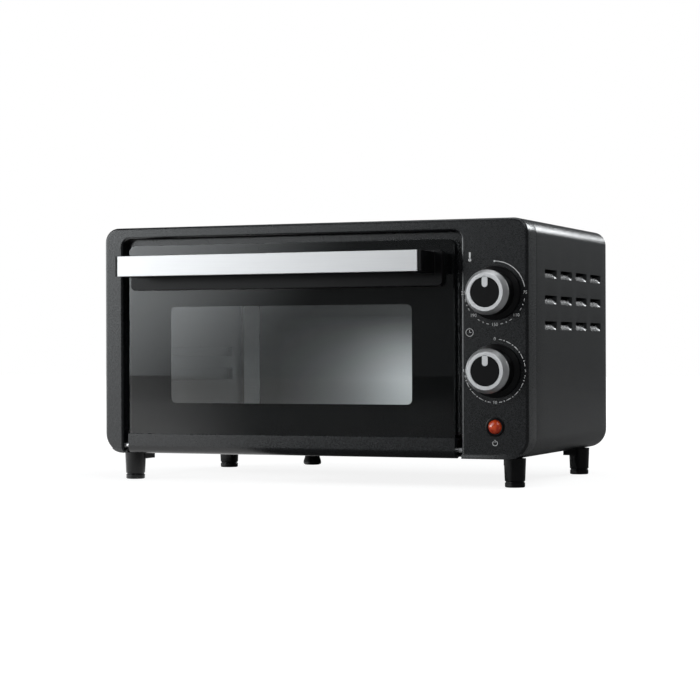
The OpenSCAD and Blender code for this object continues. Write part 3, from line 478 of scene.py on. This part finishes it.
# %% Outer cover
LOUVRE_LENGTH = 32 * MM
LOUVRE_HEIGHT = 6.6 * MM
LOUVRE_PITCH = 43.2 * MM
LOUVRE_FIRST = 44 * MM
LOUVRE_ROWS = [98.2 * MM, 118.2 * MM, 138.2 * MM]
LOUVRE_PUSH = 4.2 * MM
END_RUN = 6 * MM
SEAM = 0.6 * MM
FOLD_FLAT = 8 * MM
cover_front = frame_high.y + SEAM
louvres = [(front_y + LOUVRE_FIRST + i * LOUVRE_PITCH, body_z + z)
           for i in range(4) for z in LOUVRE_ROWS]
shape = bmesh.new()
face = outline(shape, [
    (cover_low.x, cover_low.z, BODY_LOW_R), (cover_high.x, cover_low.z, BODY_LOW_R),
    (cover_high.x, cover_high.z, BODY_TOP_R), (cover_low.x, cover_high.z, BODY_TOP_R)], cover_front)
pull_back(shape, list(shape.edges), cover_high.y - cover_front)
bmesh.ops.delete(shape, geom=[face], context="FACES_ONLY")
fold_x = cover_high.x - BODY_LOW_R - FOLD_FLAT
for x in (-fold_x, fold_x):
    bmesh.ops.bisect_plane(shape, geom=shape.verts[:] + shape.edges[:] + shape.faces[:],
                           plane_co=(x, 0, 0), plane_no=(1, 0, 0))
underside = [f for f in shape.faces if abs(f.calc_center_median().x) < fold_x
             and f.calc_center_median().z < body_z + MM]
bmesh.ops.delete(shape, geom=underside, context="FACES")


def cut_wall(shape, place, normal):
    """Cut only the right wall of the cover, along a plane."""
    wall = [f for f in shape.faces if abs(f.calc_center_median().x - cover_high.x) < MM / 10]
    parts = set(wall)
    for f in wall:
        parts.update(f.edges)
        parts.update(f.verts)
    bmesh.ops.bisect_plane(shape, geom=list(parts), plane_co=place, plane_no=normal)


for y in sorted({y for y, z in louvres}):
    for step in (0, 0.04, 0.1, 0.17, 0.25, 0.5, 0.75, 0.83, 0.9, 0.96, 1):
        cut_wall(shape, (0, y + step * LOUVRE_LENGTH, 0), (0, 1, 0))
for z in sorted({z for y, z in louvres}):
    for step in (0, 0.12, 0.3, 0.65, 1):
        cut_wall(shape, (0, 0, z + step * LOUVRE_HEIGHT), (0, 0, 1))


def inside(point, y, z):
    """Whether a point of the right wall lies in the louvre that starts at y, z."""
    slack = 0.05 * MM
    return (abs(point.x - cover_high.x) < MM / 10 and y - slack < point.y < y + LOUVRE_LENGTH + slack
            and z - slack < point.z < z + LOUVRE_HEIGHT + slack)


slits = [edge for edge in shape.edges for y, z in louvres
         if all(inside(v.co, y, z) and v.co.z > z + 0.9 * LOUVRE_HEIGHT for v in edge.verts)]
bmesh.ops.split_edges(shape, edges=slits)
for y, z in louvres:
    cells = [f for f in shape.faces if inside(f.calc_center_median(), y, z)]
    for vert in {v for f in cells for v in f.verts}:
        end = min(vert.co.y - y, y + LOUVRE_LENGTH - vert.co.y) / END_RUN
        share = max(0.0, min(1.0, end))
        rise = max(0.0, (vert.co.z - z) / LOUVRE_HEIGHT)
        vert.co.x -= LOUVRE_PUSH * math.sin(share * math.pi / 2) * math.sin(rise * math.pi / 2)
cover = make_piece(shape, "outer_cover_pressed", "outer_cover", angle=25)
thicken(cover, SHEET)
print("cover:", len(cover.data.polygons), "faces,", len(louvres), "louvres")

# %% [markdown]
# A narrow seam is left between the front and the cover. Behind it a tongue
# of the cover, a sheet inside both, closes the view into the body.

# %% Tongue of the cover
TONGUE_LONG = 14 * MM
TONGUE_AHEAD = 8 * MM
inset = 1.0 * MM
shape = bmesh.new()
face = outline(shape, [
    (cover_low.x + inset, cover_low.z + inset, BODY_LOW_R - inset),
    (cover_high.x - inset, cover_low.z + inset, BODY_LOW_R - inset),
    (cover_high.x - inset, cover_high.z - inset, BODY_TOP_R - inset),
    (cover_low.x + inset, cover_high.z - inset, BODY_TOP_R - inset)],
    cover_front - TONGUE_AHEAD)
pull_back(shape, list(shape.edges), TONGUE_LONG)
bmesh.ops.delete(shape, geom=[face], context="FACES_ONLY")
bmesh.ops.bisect_plane(shape, geom=shape.verts[:] + shape.edges[:] + shape.faces[:],
                       plane_co=(0, 0, body_z + BODY_LOW_R), plane_no=(0, 0, 1), clear_inner=True)
tongue = make_piece(shape, "cover_tongue", "outer_cover", replaces=False)
thicken(tongue, SHEET)
print("tongue:", len(tongue.data.polygons), "faces")

# %% [markdown]
# The door is a pane with ground edges. Its black border is printed on the
# back, and leaves a window with rounded corners, so the border is a separate
# thin face behind the pane: two outlines, with the ring between them filled.

# %% Door glass and its printed border
WINDOW_LEFT, WINDOW_RIGHT = -121 * MM, 86 * MM
WINDOW_BOTTOM, WINDOW_TOP = 62.8 * MM, 140.1 * MM
WINDOW_R = 4 * MM
GLASS_R = 5 * MM
GROUND_EDGE = 0.25 * MM
PRINT_IN = 0.3 * MM
shape = bmesh.new()
outline(shape, [
    (glass_low.x, glass_low.z, 0), (glass_high.x, glass_low.z, 0),
    (glass_high.x, glass_high.z, GLASS_R), (glass_low.x, glass_high.z, GLASS_R)], glass_low.y)
pull_back(shape, list(shape.edges), glass_high.y - glass_low.y)
bmesh.ops.holes_fill(shape, edges=[e for e in shape.edges if len(e.link_faces) == 1], sides=0)
round_edges(shape, sharp_edges(shape, 60), GROUND_EDGE, 2)
make_piece(shape, "door_pane", "door_glass")

shape = bmesh.new()
border_y = glass_high.y + 0.05 * MM
outline(shape, [
    (glass_low.x + PRINT_IN, glass_low.z, GLASS_R), (glass_high.x - PRINT_IN, glass_low.z, GLASS_R),
    (glass_high.x - PRINT_IN, glass_high.z - PRINT_IN, GLASS_R),
    (glass_low.x + PRINT_IN, glass_high.z - PRINT_IN, GLASS_R)], border_y)
outline(shape, [
    (WINDOW_LEFT, WINDOW_BOTTOM, WINDOW_R), (WINDOW_RIGHT, WINDOW_BOTTOM, WINDOW_R),
    (WINDOW_RIGHT, WINDOW_TOP, WINDOW_R), (WINDOW_LEFT, WINDOW_TOP, WINDOW_R)], border_y)
bmesh.ops.delete(shape, geom=list(shape.faces), context="FACES_ONLY")
bmesh.ops.triangle_fill(shape, use_beauty=True, use_dissolve=False, edges=list(shape.edges))
border = make_piece(shape, "door_border", "door_glass", replaces=False, finish="print_black")
thicken(border, 0.1 * MM, offset=0)
print("door: pane and border")

# %% [markdown]
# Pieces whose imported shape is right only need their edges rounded, because
# no real edge is perfectly sharp and a rounded one catches the light. The
# table gives each piece's width of rounding in millimetres, and its steps.

# %% Softened pieces
for node, width, segments in [
        ("door_rail", 0.8, 3), ("handle_body", 1.1, 3), ("handle_strip", 0.35, 3),
        ("rear_panel", 0.2, 1), ("base_plate", 0.15, 1), ("cavity_front", 0.15, 1),
        ("liner_back", 0.4, 2), ("liner_left", 0.5, 2), ("liner_right", 0.5, 2), ("liner_top", 0.15, 1),
        ("hinge_brackets", 0.2, 1), ("rack_hooks", 0.25, 2), ("crumb_tray", 0.2, 2),
        ("crumb_tray_knob", 0.4, 3), ("cord_gland", 0.5, 3), ("heater_insulators", 0.4, 2),
        ("foot_front_left", 0.35, 2), ("foot_front_right", 0.35, 2),
        ("foot_rear_left", 0.35, 2), ("foot_rear_right", 0.35, 2),
        ("hinge_pins", 0.3, 2), ("heat_shield", 0.15, 1), ("terminal_block", 0.5, 2)]:
    soften(node, width * MM, segments)
print("softened pieces done")

# %% [markdown]
# The back wall has an upright bead pressed into each end. A skin lies on each
# bead, a hair proud of it, with its own rounded edges. It carries the copy of
# the cavity sheet with less painted shade, so the beads look lit.

# %% Beads in the back corners of the cavity
BEAD_WIDE = 14.7 * MM
BEAD_FROM_END = 4.6 * MM
BEAD_BEHIND = 1.6 * MM
BEAD_THICK = 0.7 * MM
wall_low, wall_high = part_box("liner_back")
wall_middle = (wall_low + wall_high) / 2
shape = bmesh.new()
size = Matrix.Diagonal((BEAD_WIDE, BEAD_THICK, wall_high.z - wall_low.z - MM, 1))
for left_side in (wall_low.x + BEAD_FROM_END, wall_high.x - BEAD_FROM_END - BEAD_WIDE):
    spot = Vector((left_side + BEAD_WIDE / 2, wall_high.y - BEAD_BEHIND, wall_middle.z))
    bmesh.ops.create_cube(shape, size=1.0, matrix=Matrix.Translation(spot) @ size)
round_edges(shape, list(shape.edges), 0.25 * MM, 2)
# the skin's finish is the cavity sheet with less painted shade, so the beads look lit
make_piece(shape, "liner_beads", "liner_back", replaces=False, finish="bead_steel_less_shade")
print("two beads made")

# %% [markdown]
# A knob is two turned pieces: a black grip, with a flat skirt by the panel and
# a sunk disc in front, and a satin metal ring whose rim is chamfered. Profiles
# are (radius, distance from the panel) in millimetres. The pointer is a bar
# with round ends, a stretched short cylinder, that reaches in from the ring.


# %% Knobs
POINTER_R = 2.25 * MM
POINTER_THICK = 0.7 * MM
POINTER_FROM = 6.0 * MM
POINTER_LONG = 3.9 * MM


def knob(which, at):
    """Make the grip and the ring of one knob, round its shaft at the given place."""
    depth = front_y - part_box(which + "_knob_ring")[0].y
    end = depth / MM
    skirt = [(0, 1.0), (20.2, 1.0), (20.5, 1.3), (20.3, 2.2), (18.2, 3.0), (16.6, 3.5), (16.2, 4.4)]
    disc = [(16.3, end - 6.6), (11.4, end - 6.6), (11.4, end - 0.7), (11.1, end - 0.4), (0, end - 0.4)]
    ring = [(11.4, end - 6.55), (16.6, end - 6.55), (17.0, end - 6.2), (17.0, end - 5.2),
            (16.8, end - 4.6), (14.6, end - 0.4), (14.1, end), (11.6, end), (11.4, end - 0.2),
            (11.4, end - 6.55)]
    centre = Vector((at.x, front_y, at.z))
    make_piece(spun(skirt + disc, centre), which + "_knob_grip", which + "_knob")
    shape = spun(ring, centre)
    tip = centre + Vector((0, -depth + POINTER_THICK / 2, POINTER_FROM))
    turn = Matrix.Translation(tip) @ Matrix.Rotation(math.radians(90), 4, "X")
    made = bmesh.ops.create_cone(shape, cap_ends=True, segments=32, radius1=POINTER_R, radius2=POINTER_R,
                                 depth=POINTER_THICK, matrix=turn)
    upper = [v for v in made["verts"] if v.co.z > tip.z + 0.01 * MM]
    bmesh.ops.translate(shape, verts=upper, vec=(0, 0, POINTER_LONG))
    make_piece(shape, which + "_ring_turned", which + "_knob_ring")


knob("temp", temp_at)
knob("timer", timer_at)
print("knobs turned")

# %% [markdown]
# The pilot lamp has a dark rim and a faceted dome. The dome is a low sphere
# cap with few steps, so its facets sparkle like a cut lens.

# %% Pilot lamp
lamp_centre = Vector((lamp_at.x, front_y, lamp_at.z))
rim = [(6.2, -4), (6.2, 0.2), (5.7, 0.9), (5.8, 1.3), (6.4, 1.4), (7.0, 1.2), (7.4, 0.5),
       (7.4, 0), (6.3, 0), (6.3, -4), (6.2, -4)]
make_piece(spun(rim, lamp_centre), "lamp_rim", "lamp_bezel")
dome = [(0, 3.3), (2.0, 3.1), (3.5, 2.5), (4.8, 1.5), (5.6, 0.2), (5.6, -4), (0, -4)]
make_piece(spun(dome, lamp_centre, steps=12), "lamp_dome", "lamp_lens", angle=8)
print("lamp made")

# %% [markdown]
# The wire rack is bent from thick wire round its edge, with thinner wires
# laid across it from front to back and welded on.

# %% Wire rack
FRAME_R = 2 * MM
WIRE_R = 1.2 * MM
WIRE_PITCH = 15 * MM
WIRES_EACH_SIDE = 7
shape = bmesh.new()
rack_z = (rack_low.z + rack_high.z) / 2
left, right = rack_low.x + FRAME_R, rack_high.x - FRAME_R
near, far = rack_low.y + FRAME_R, rack_high.y - FRAME_R
for y in (near, far):
    rod(shape, (rack_low.x, y, rack_z), (rack_high.x, y, rack_z), FRAME_R, 24)
for x in (left, right):
    rod(shape, (x, near, rack_z), (x, far, rack_z), FRAME_R, 24)
middle = (left + right) / 2
for i in range(-WIRES_EACH_SIDE, WIRES_EACH_SIDE + 1):
    x = middle + i * WIRE_PITCH
    rod(shape, (x, near, rack_z), (x, far, rack_z), WIRE_R, 14)
make_piece(shape, "rack_wires", "wire_rack")

# %% [markdown]
# Two pairs of heating tubes run across the cavity, one pair above and one
# below. Each tube is a sheath with a thinner terminal pin at both ends.

# %% Heating elements
TUBE_R = 3.2 * MM
PIN_R = 1.4 * MM
PIN_LONG = 7 * MM
for node in ("upper_heaters", "lower_heaters"):
    low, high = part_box(node)
    shape = bmesh.new()
    z = (low.z + high.z) / 2
    for y in (low.y + TUBE_R, high.y - TUBE_R):
        rod(shape, (low.x, y, z), (high.x, y, z), PIN_R, 16)
        rod(shape, (low.x + PIN_LONG, y, z), (high.x - PIN_LONG, y, z), TUBE_R, 32)
    round_edges(shape, sharp_edges(shape, 60), 0.3 * MM, 2)
    make_piece(shape, node + "_rods", node)
print("rack and heaters made")

# %% [markdown]
# Screw heads are low domes with a cross recess. The dome is spun, and the
# recess is cut by a Boolean with a cross of two bars, then the modifier is
# applied so that the piece is a plain mesh.


# %% Screws
def screw_heads(node, places, axis, radius):
    """Replace a node of screws by domed heads with a cross recess. radius is in millimetres."""
    profile = [(0, 1.8), (radius * 0.55, 1.65), (radius * 0.85, 1.2), (radius, 0.5), (radius, 0), (0, 0)]
    turn = axis.to_track_quat("Z", "Y").to_matrix().to_4x4()
    long_side, short_side = 1.1 * radius * MM, 0.16 * radius * MM
    heads, cross = bmesh.new(), bmesh.new()
    for at in places:
        head = spun(profile, at, axis, 32)
        mesh = bpy.data.meshes.new("head")
        head.to_mesh(mesh)
        head.free()
        heads.from_mesh(mesh)
        bpy.data.meshes.remove(mesh)
        recess = Matrix.Translation(at + axis * RECESS_DEPTH) @ turn
        for wide, tall in ((long_side, short_side), (short_side, long_side)):
            bar = recess @ Matrix.Diagonal((wide, tall, RECESS_DEPTH, 1))
            bmesh.ops.create_cube(cross, size=1.0, matrix=bar)
    cutter_mesh = bpy.data.meshes.new("cross")
    cross.to_mesh(cutter_mesh)
    cross.free()
    cutter = bpy.data.objects.new("cross", cutter_mesh)
    bpy.context.scene.collection.objects.link(cutter)
    piece = make_piece(heads, node + "_heads", node)
    cut = piece.modifiers.new("cut", "BOOLEAN")
    cut.object = cutter
    cut.solver = "EXACT"
    cut.use_self = True
    bpy.context.view_layer.update()
    ready = piece.evaluated_get(bpy.context.evaluated_depsgraph_get())
    piece.data = bpy.data.meshes.new_from_object(ready)
    piece.modifiers.clear()
    bpy.data.objects.remove(cutter)


RECESS_DEPTH = 1.6 * MM
HEAD_R = 3.4
rear_low, rear_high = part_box("rear_screws")
panel_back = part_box("rear_panel")[1].y
rows = (rear_low.z + HEAD_R * MM, rear_high.z - HEAD_R * MM)
columns = (rear_low.x + HEAD_R * MM, 0.0, rear_high.x - HEAD_R * MM)
places = [Vector((x, panel_back, z)) for x in columns for z in rows]
screw_heads("rear_screws", places, Vector((0, 1, 0)), HEAD_R)
print("screws made")

# %% [markdown]
# The scales round the dials are printed in white: numbers, dots and dashes
# on a circle round each dial. Each mark is a thin flat piece a hair above the
# paint. The numbers are text turned into a mesh.

# %% Printed scales
SCALE_R = 24 * MM
LINE = 0.5 * MM
INK = 0.06 * MM
UPRIGHT = Matrix.Rotation(math.radians(90), 4, "X")
marks = bmesh.new()


def on_circle(centre, degrees, radius=SCALE_R):
    """The point of a dial's circle at an angle clockwise from the top."""
    angle = math.radians(degrees)
    x = centre.x + radius * math.sin(angle)
    z = centre.z + radius * math.cos(angle)
    return Vector((x, front_y - INK / 2, z))


def arc(centre, start, stop, radius=SCALE_R, width=LINE):
    """A curved line: a short radial edge, spun round the centre."""
    count = max(2, int(abs(stop - start) / 3))
    inner = marks.verts.new(on_circle(centre, start, radius - width / 2))
    outer = marks.verts.new(on_circle(centre, start, radius + width / 2))
    edge = marks.edges.new((inner, outer))
    bmesh.ops.spin(marks, geom=[inner, outer, edge], cent=(centre.x, front_y - INK / 2, centre.z),
                   axis=(0, 1, 0), dvec=(0, 0, 0), angle=math.radians(stop - start), steps=count)


def dot(place, radius=0.55 * MM, sides=16):
    turn = Matrix.Translation(place) @ UPRIGHT
    bmesh.ops.create_circle(marks, cap_ends=True, segments=sides, radius=radius, matrix=turn)


def number(text, place, size=3.5 * MM):
    curve = bpy.data.curves.new("number", "FONT")
    curve.body = text
    curve.size = size
    curve.align_x = "CENTER"
    curve.align_y = "CENTER"
    curve.resolution_u = 4
    letter = bpy.data.objects.new("number", curve)
    bpy.context.scene.collection.objects.link(letter)
    bpy.context.view_layer.update()
    ready = letter.evaluated_get(bpy.context.evaluated_depsgraph_get())
    mesh = bpy.data.meshes.new_from_object(ready)
    mesh.transform(Matrix.Translation(place) @ UPRIGHT)
    marks.from_mesh(mesh)
    bpy.data.meshes.remove(mesh)
    bpy.data.objects.remove(letter)


def bar(place, wide, tall, degrees=0):
    """A flat bar, turned clockwise by degrees about its middle."""
    size = Matrix.Rotation(math.radians(-degrees), 4, "Z") @ Matrix.Diagonal((wide, tall, 1, 1))
    bmesh.ops.create_grid(marks, x_segments=1, y_segments=1, size=0.5,
                          matrix=Matrix.Translation(place) @ UPRIGHT @ size)


# Temperature: 75 to 230 over 270 degrees, with a dash, a dot and a dash between numbers
dot(on_circle(temp_at, 0), 0.75 * MM)
arc(temp_at, 1, 80)
for turn, text in ((90, "75"), (135, "110"), (180, "150"), (225, "190"), (270, "230")):
    number(text, on_circle(temp_at, turn))
for first in (90, 135, 180, 225):
    arc(temp_at, first + 11, first + 16)
    dot(on_circle(temp_at, first + 22.5))
    arc(temp_at, first + 29, first + 34)

# Time: 15 minutes over 270 degrees, numbered every five
MINUTE = 18
for minute in range(0, 16, 5):
    number(str(minute), on_circle(timer_at, minute * MINUTE))
for minute in range(1, 15):
    if minute % 5:
        dot(on_circle(timer_at, minute * MINUTE), 0.5 * MM)
for minute in range(15):
    start = minute * MINUTE + (8 if minute % 5 == 0 else 4)
    stop = minute * MINUTE + (10 if minute % 5 == 4 else 14)
    arc(timer_at, start, stop)
print("two scales drawn")

# %% [markdown]
# Three small signs stand above the dials and below the lamp: a thermometer,
# a clock and the usual power sign.

# %% Signs for heat, time and power
SIGN_LINE = 0.4 * MM
sign_x = temp_at.x - 19.7 * MM
heat_z = temp_at.z + 27.6 * MM
dot(Vector((sign_x, front_y - INK / 2, heat_z - 2.4 * MM)), 1.25 * MM, 24)
bar((sign_x, front_y - INK / 2, heat_z + 0.7 * MM), 1.3 * MM, 5.4 * MM)
clock = Vector((sign_x - 0.3 * MM, 0, timer_at.z + 29.1 * MM))
arc(clock, 0, 360, 2.9 * MM, SIGN_LINE)
for degrees, reach in ((0, 1.9 * MM), (90, 1.4 * MM)):
    bar(on_circle(clock, degrees, reach / 2), SIGN_LINE, reach, degrees)
power = Vector((lamp_at.x, 0, lamp_at.z - 12.3 * MM))
arc(power, 35, 325, 1.9 * MM, SIGN_LINE)
bar((power.x, front_y - INK / 2, power.z + 1.4 * MM), SIGN_LINE, 2.2 * MM)
prints = make_piece(marks, "dial_print", "front_frame", replaces=False, finish="print_white")
thicken(prints, INK, offset=0)
print("printed scales:", len(prints.data.polygons), "faces")

# %% [markdown]
# The surround is worked out by kind of ray. Rays from the camera, and rays
# that went through glass, see plain white. All other rays see a dim studio,
# so the light on the oven comes from the lamps. Mirror rays also see one
# bright card: it stands low at the front left, fades in toward the left and
# out toward the top, and gives black glass and satin paint their sheen.

# %% Helpers for the surround
CARD_TOWARD = Vector((-0.78, -0.35, 0.5)).normalized()
CARD_EDGE = (0.645, 0.725)
CARD_TOP = (0.09, 0.21)


def calculate(tree, operation, *values):
    """A Math node whose inputs are numbers or sockets."""
    node = tree.nodes.new("ShaderNodeMath")
    node.operation = operation
    for socket, value in zip(node.inputs, values):
        if isinstance(value, bpy.types.NodeSocket):
            tree.links.new(value, socket)
        else:
            socket.default_value = value
    return node.outputs["Value"]


def ease(tree, value, edge, ends, kind="SMOOTHSTEP"):
    """A value that goes from ends[0] to ends[1] while the input crosses an edge."""
    node = tree.nodes.new("ShaderNodeMapRange")
    node.interpolation_type = kind
    node.inputs["From Min"].default_value = edge[0]
    node.inputs["From Max"].default_value = edge[1]
    node.inputs["To Min"].default_value = ends[0]
    node.inputs["To Max"].default_value = ends[1]
    tree.links.new(value, node.inputs["Value"])
    return node.outputs["Result"]


def card_strength(tree, place):
    """The bright card, by direction from the origin."""
    unit = tree.nodes.new("ShaderNodeVectorMath")
    unit.operation = "NORMALIZE"
    tree.links.new(place, unit.inputs[0])
    facing = tree.nodes.new("ShaderNodeVectorMath")
    facing.operation = "DOT_PRODUCT"
    facing.inputs[1].default_value = CARD_TOWARD
    tree.links.new(unit.outputs["Vector"], facing.inputs[0])
    split = tree.nodes.new("ShaderNodeSeparateXYZ")
    tree.links.new(unit.outputs["Vector"], split.inputs["Vector"])
    from_side = ease(tree, facing.outputs["Value"], CARD_EDGE, (0, 1))
    below_top = ease(tree, split.outputs["Z"], CARD_TOP, (1, 0))
    return calculate(tree, "MULTIPLY", from_side, below_top)


def rays(tree):
    """Two sockets: 1 for rays that see the plain white, and 1 for mirror rays."""
    path = tree.nodes.new("ShaderNodeLightPath")
    direct = calculate(tree, "MAXIMUM", path.outputs["Is Camera Ray"], path.outputs["Is Transmission Ray"])
    return direct, path.outputs["Is Glossy Ray"]


# %% [markdown]
# The floor keeps the oven's soft shadow. Its glow makes it white, and rises
# with distance, so that no horizon shows. The paint itself is grey, because a
# white floor would light the oven from below.

# %% Floor
FLOOR_HALF = 6.0
FLOOR_CARD = 1.2
shape = bmesh.new()
bmesh.ops.create_grid(shape, x_segments=2, y_segments=2, size=FLOOR_HALF)
floor_mesh = bpy.data.meshes.new("floor")
shape.to_mesh(floor_mesh)
shape.free()
floor = bpy.data.objects.new("floor", floor_mesh)
bpy.context.scene.collection.objects.link(floor)
floor_paint, tree, shader = new_finish("floor_paint", (0.22, 0.22, 0.22), 0.9, specular=0.1)
shader.inputs["Emission Color"].default_value = (1, 1, 1, 1)
direct, mirror = rays(tree)
place = tree.nodes.new("ShaderNodeTexCoord")
reach = tree.nodes.new("ShaderNodeVectorMath")
reach.operation = "LENGTH"
tree.links.new(place.outputs["Object"], reach.inputs[0])
white = ease(tree, reach.outputs["Value"], (0.4, 1.6), (0.87, 1.1), "LINEAR")
glow = calculate(tree, "MULTIPLY", direct, white)
card = calculate(tree, "MULTIPLY", card_strength(tree, place.outputs["Object"]), FLOOR_CARD)
strength = calculate(tree, "MULTIPLY_ADD", mirror, card, glow)
tree.links.new(strength, shader.inputs["Emission Strength"])
floor_mesh.materials.append(floor_paint)
print("floor laid")

# %% [markdown]
# The world gives the white behind the oven, the dim studio, and the card.

# %% World
STUDIO = 0.14
WORLD_CARD = 4.8
CARD_COLOUR = (0.94, 0.98, 1, 1)
world = bpy.data.worlds.new("studio")
bpy.context.scene.world = world
world.use_nodes = True
tree = world.node_tree
background = tree.nodes["Background"]
direct, mirror = rays(tree)
place = tree.nodes.new("ShaderNodeTexCoord")
level = ease(tree, direct, (0, 1), (STUDIO, 1), "LINEAR")
card = calculate(tree, "MULTIPLY", card_strength(tree, place.outputs["Object"]), WORLD_CARD)
strength = calculate(tree, "MULTIPLY_ADD", mirror, card, level)
tree.links.new(strength, background.inputs["Strength"])
tint = tree.nodes.new("ShaderNodeMix")
tint.data_type = "RGBA"
tint.inputs[6].default_value = (1, 1, 1, 1)
tint.inputs[7].default_value = CARD_COLOUR
tree.links.new(mirror, tint.inputs["Factor"])
tree.links.new(tint.outputs[2], background.inputs["Color"])
print("world ready")

# %% [markdown]
# Four soft lamps. The left one is the key light. The one behind at the right
# puts a sheen on the side, the one at the front right is a weak fill, and the
# top one lights the roof.


# %% Lamps
def soft_lamp(name, place, aim, width, height, power):
    data = bpy.data.lights.new(name, "AREA")
    data.shape = "RECTANGLE"
    data.size = width
    data.size_y = height
    data.energy = power
    data.color = (0.96, 0.985, 1.0)
    lamp = bpy.data.objects.new(name, data)
    lamp.location = place
    lamp.rotation_euler = (Vector(aim) - Vector(place)).to_track_quat("-Z", "Y").to_euler()
    bpy.context.scene.collection.objects.link(lamp)


soft_lamp("left_softbox", (-1.9, -1.7, 1.1), (0, 0, 0.12), 1.4, 1.6, 30)
soft_lamp("right_softbox", (1.1, 2.3, 1.1), (0.18, 0, 0.15), 0.9, 0.7, 24)
soft_lamp("window_softbox", (1.2, -1.5, 1.45), (0.05, 0, 0.08), 0.8, 0.8, 10)
soft_lamp("top_softbox", (0.1, -0.2, 1.9), (0, 0, 0), 1.6, 1.2, 14)
print("four lamps placed")

# %% [markdown]
# Colours are shown as they are.

# %% Picture settings
bpy.context.scene.view_settings.view_transform = "Standard"
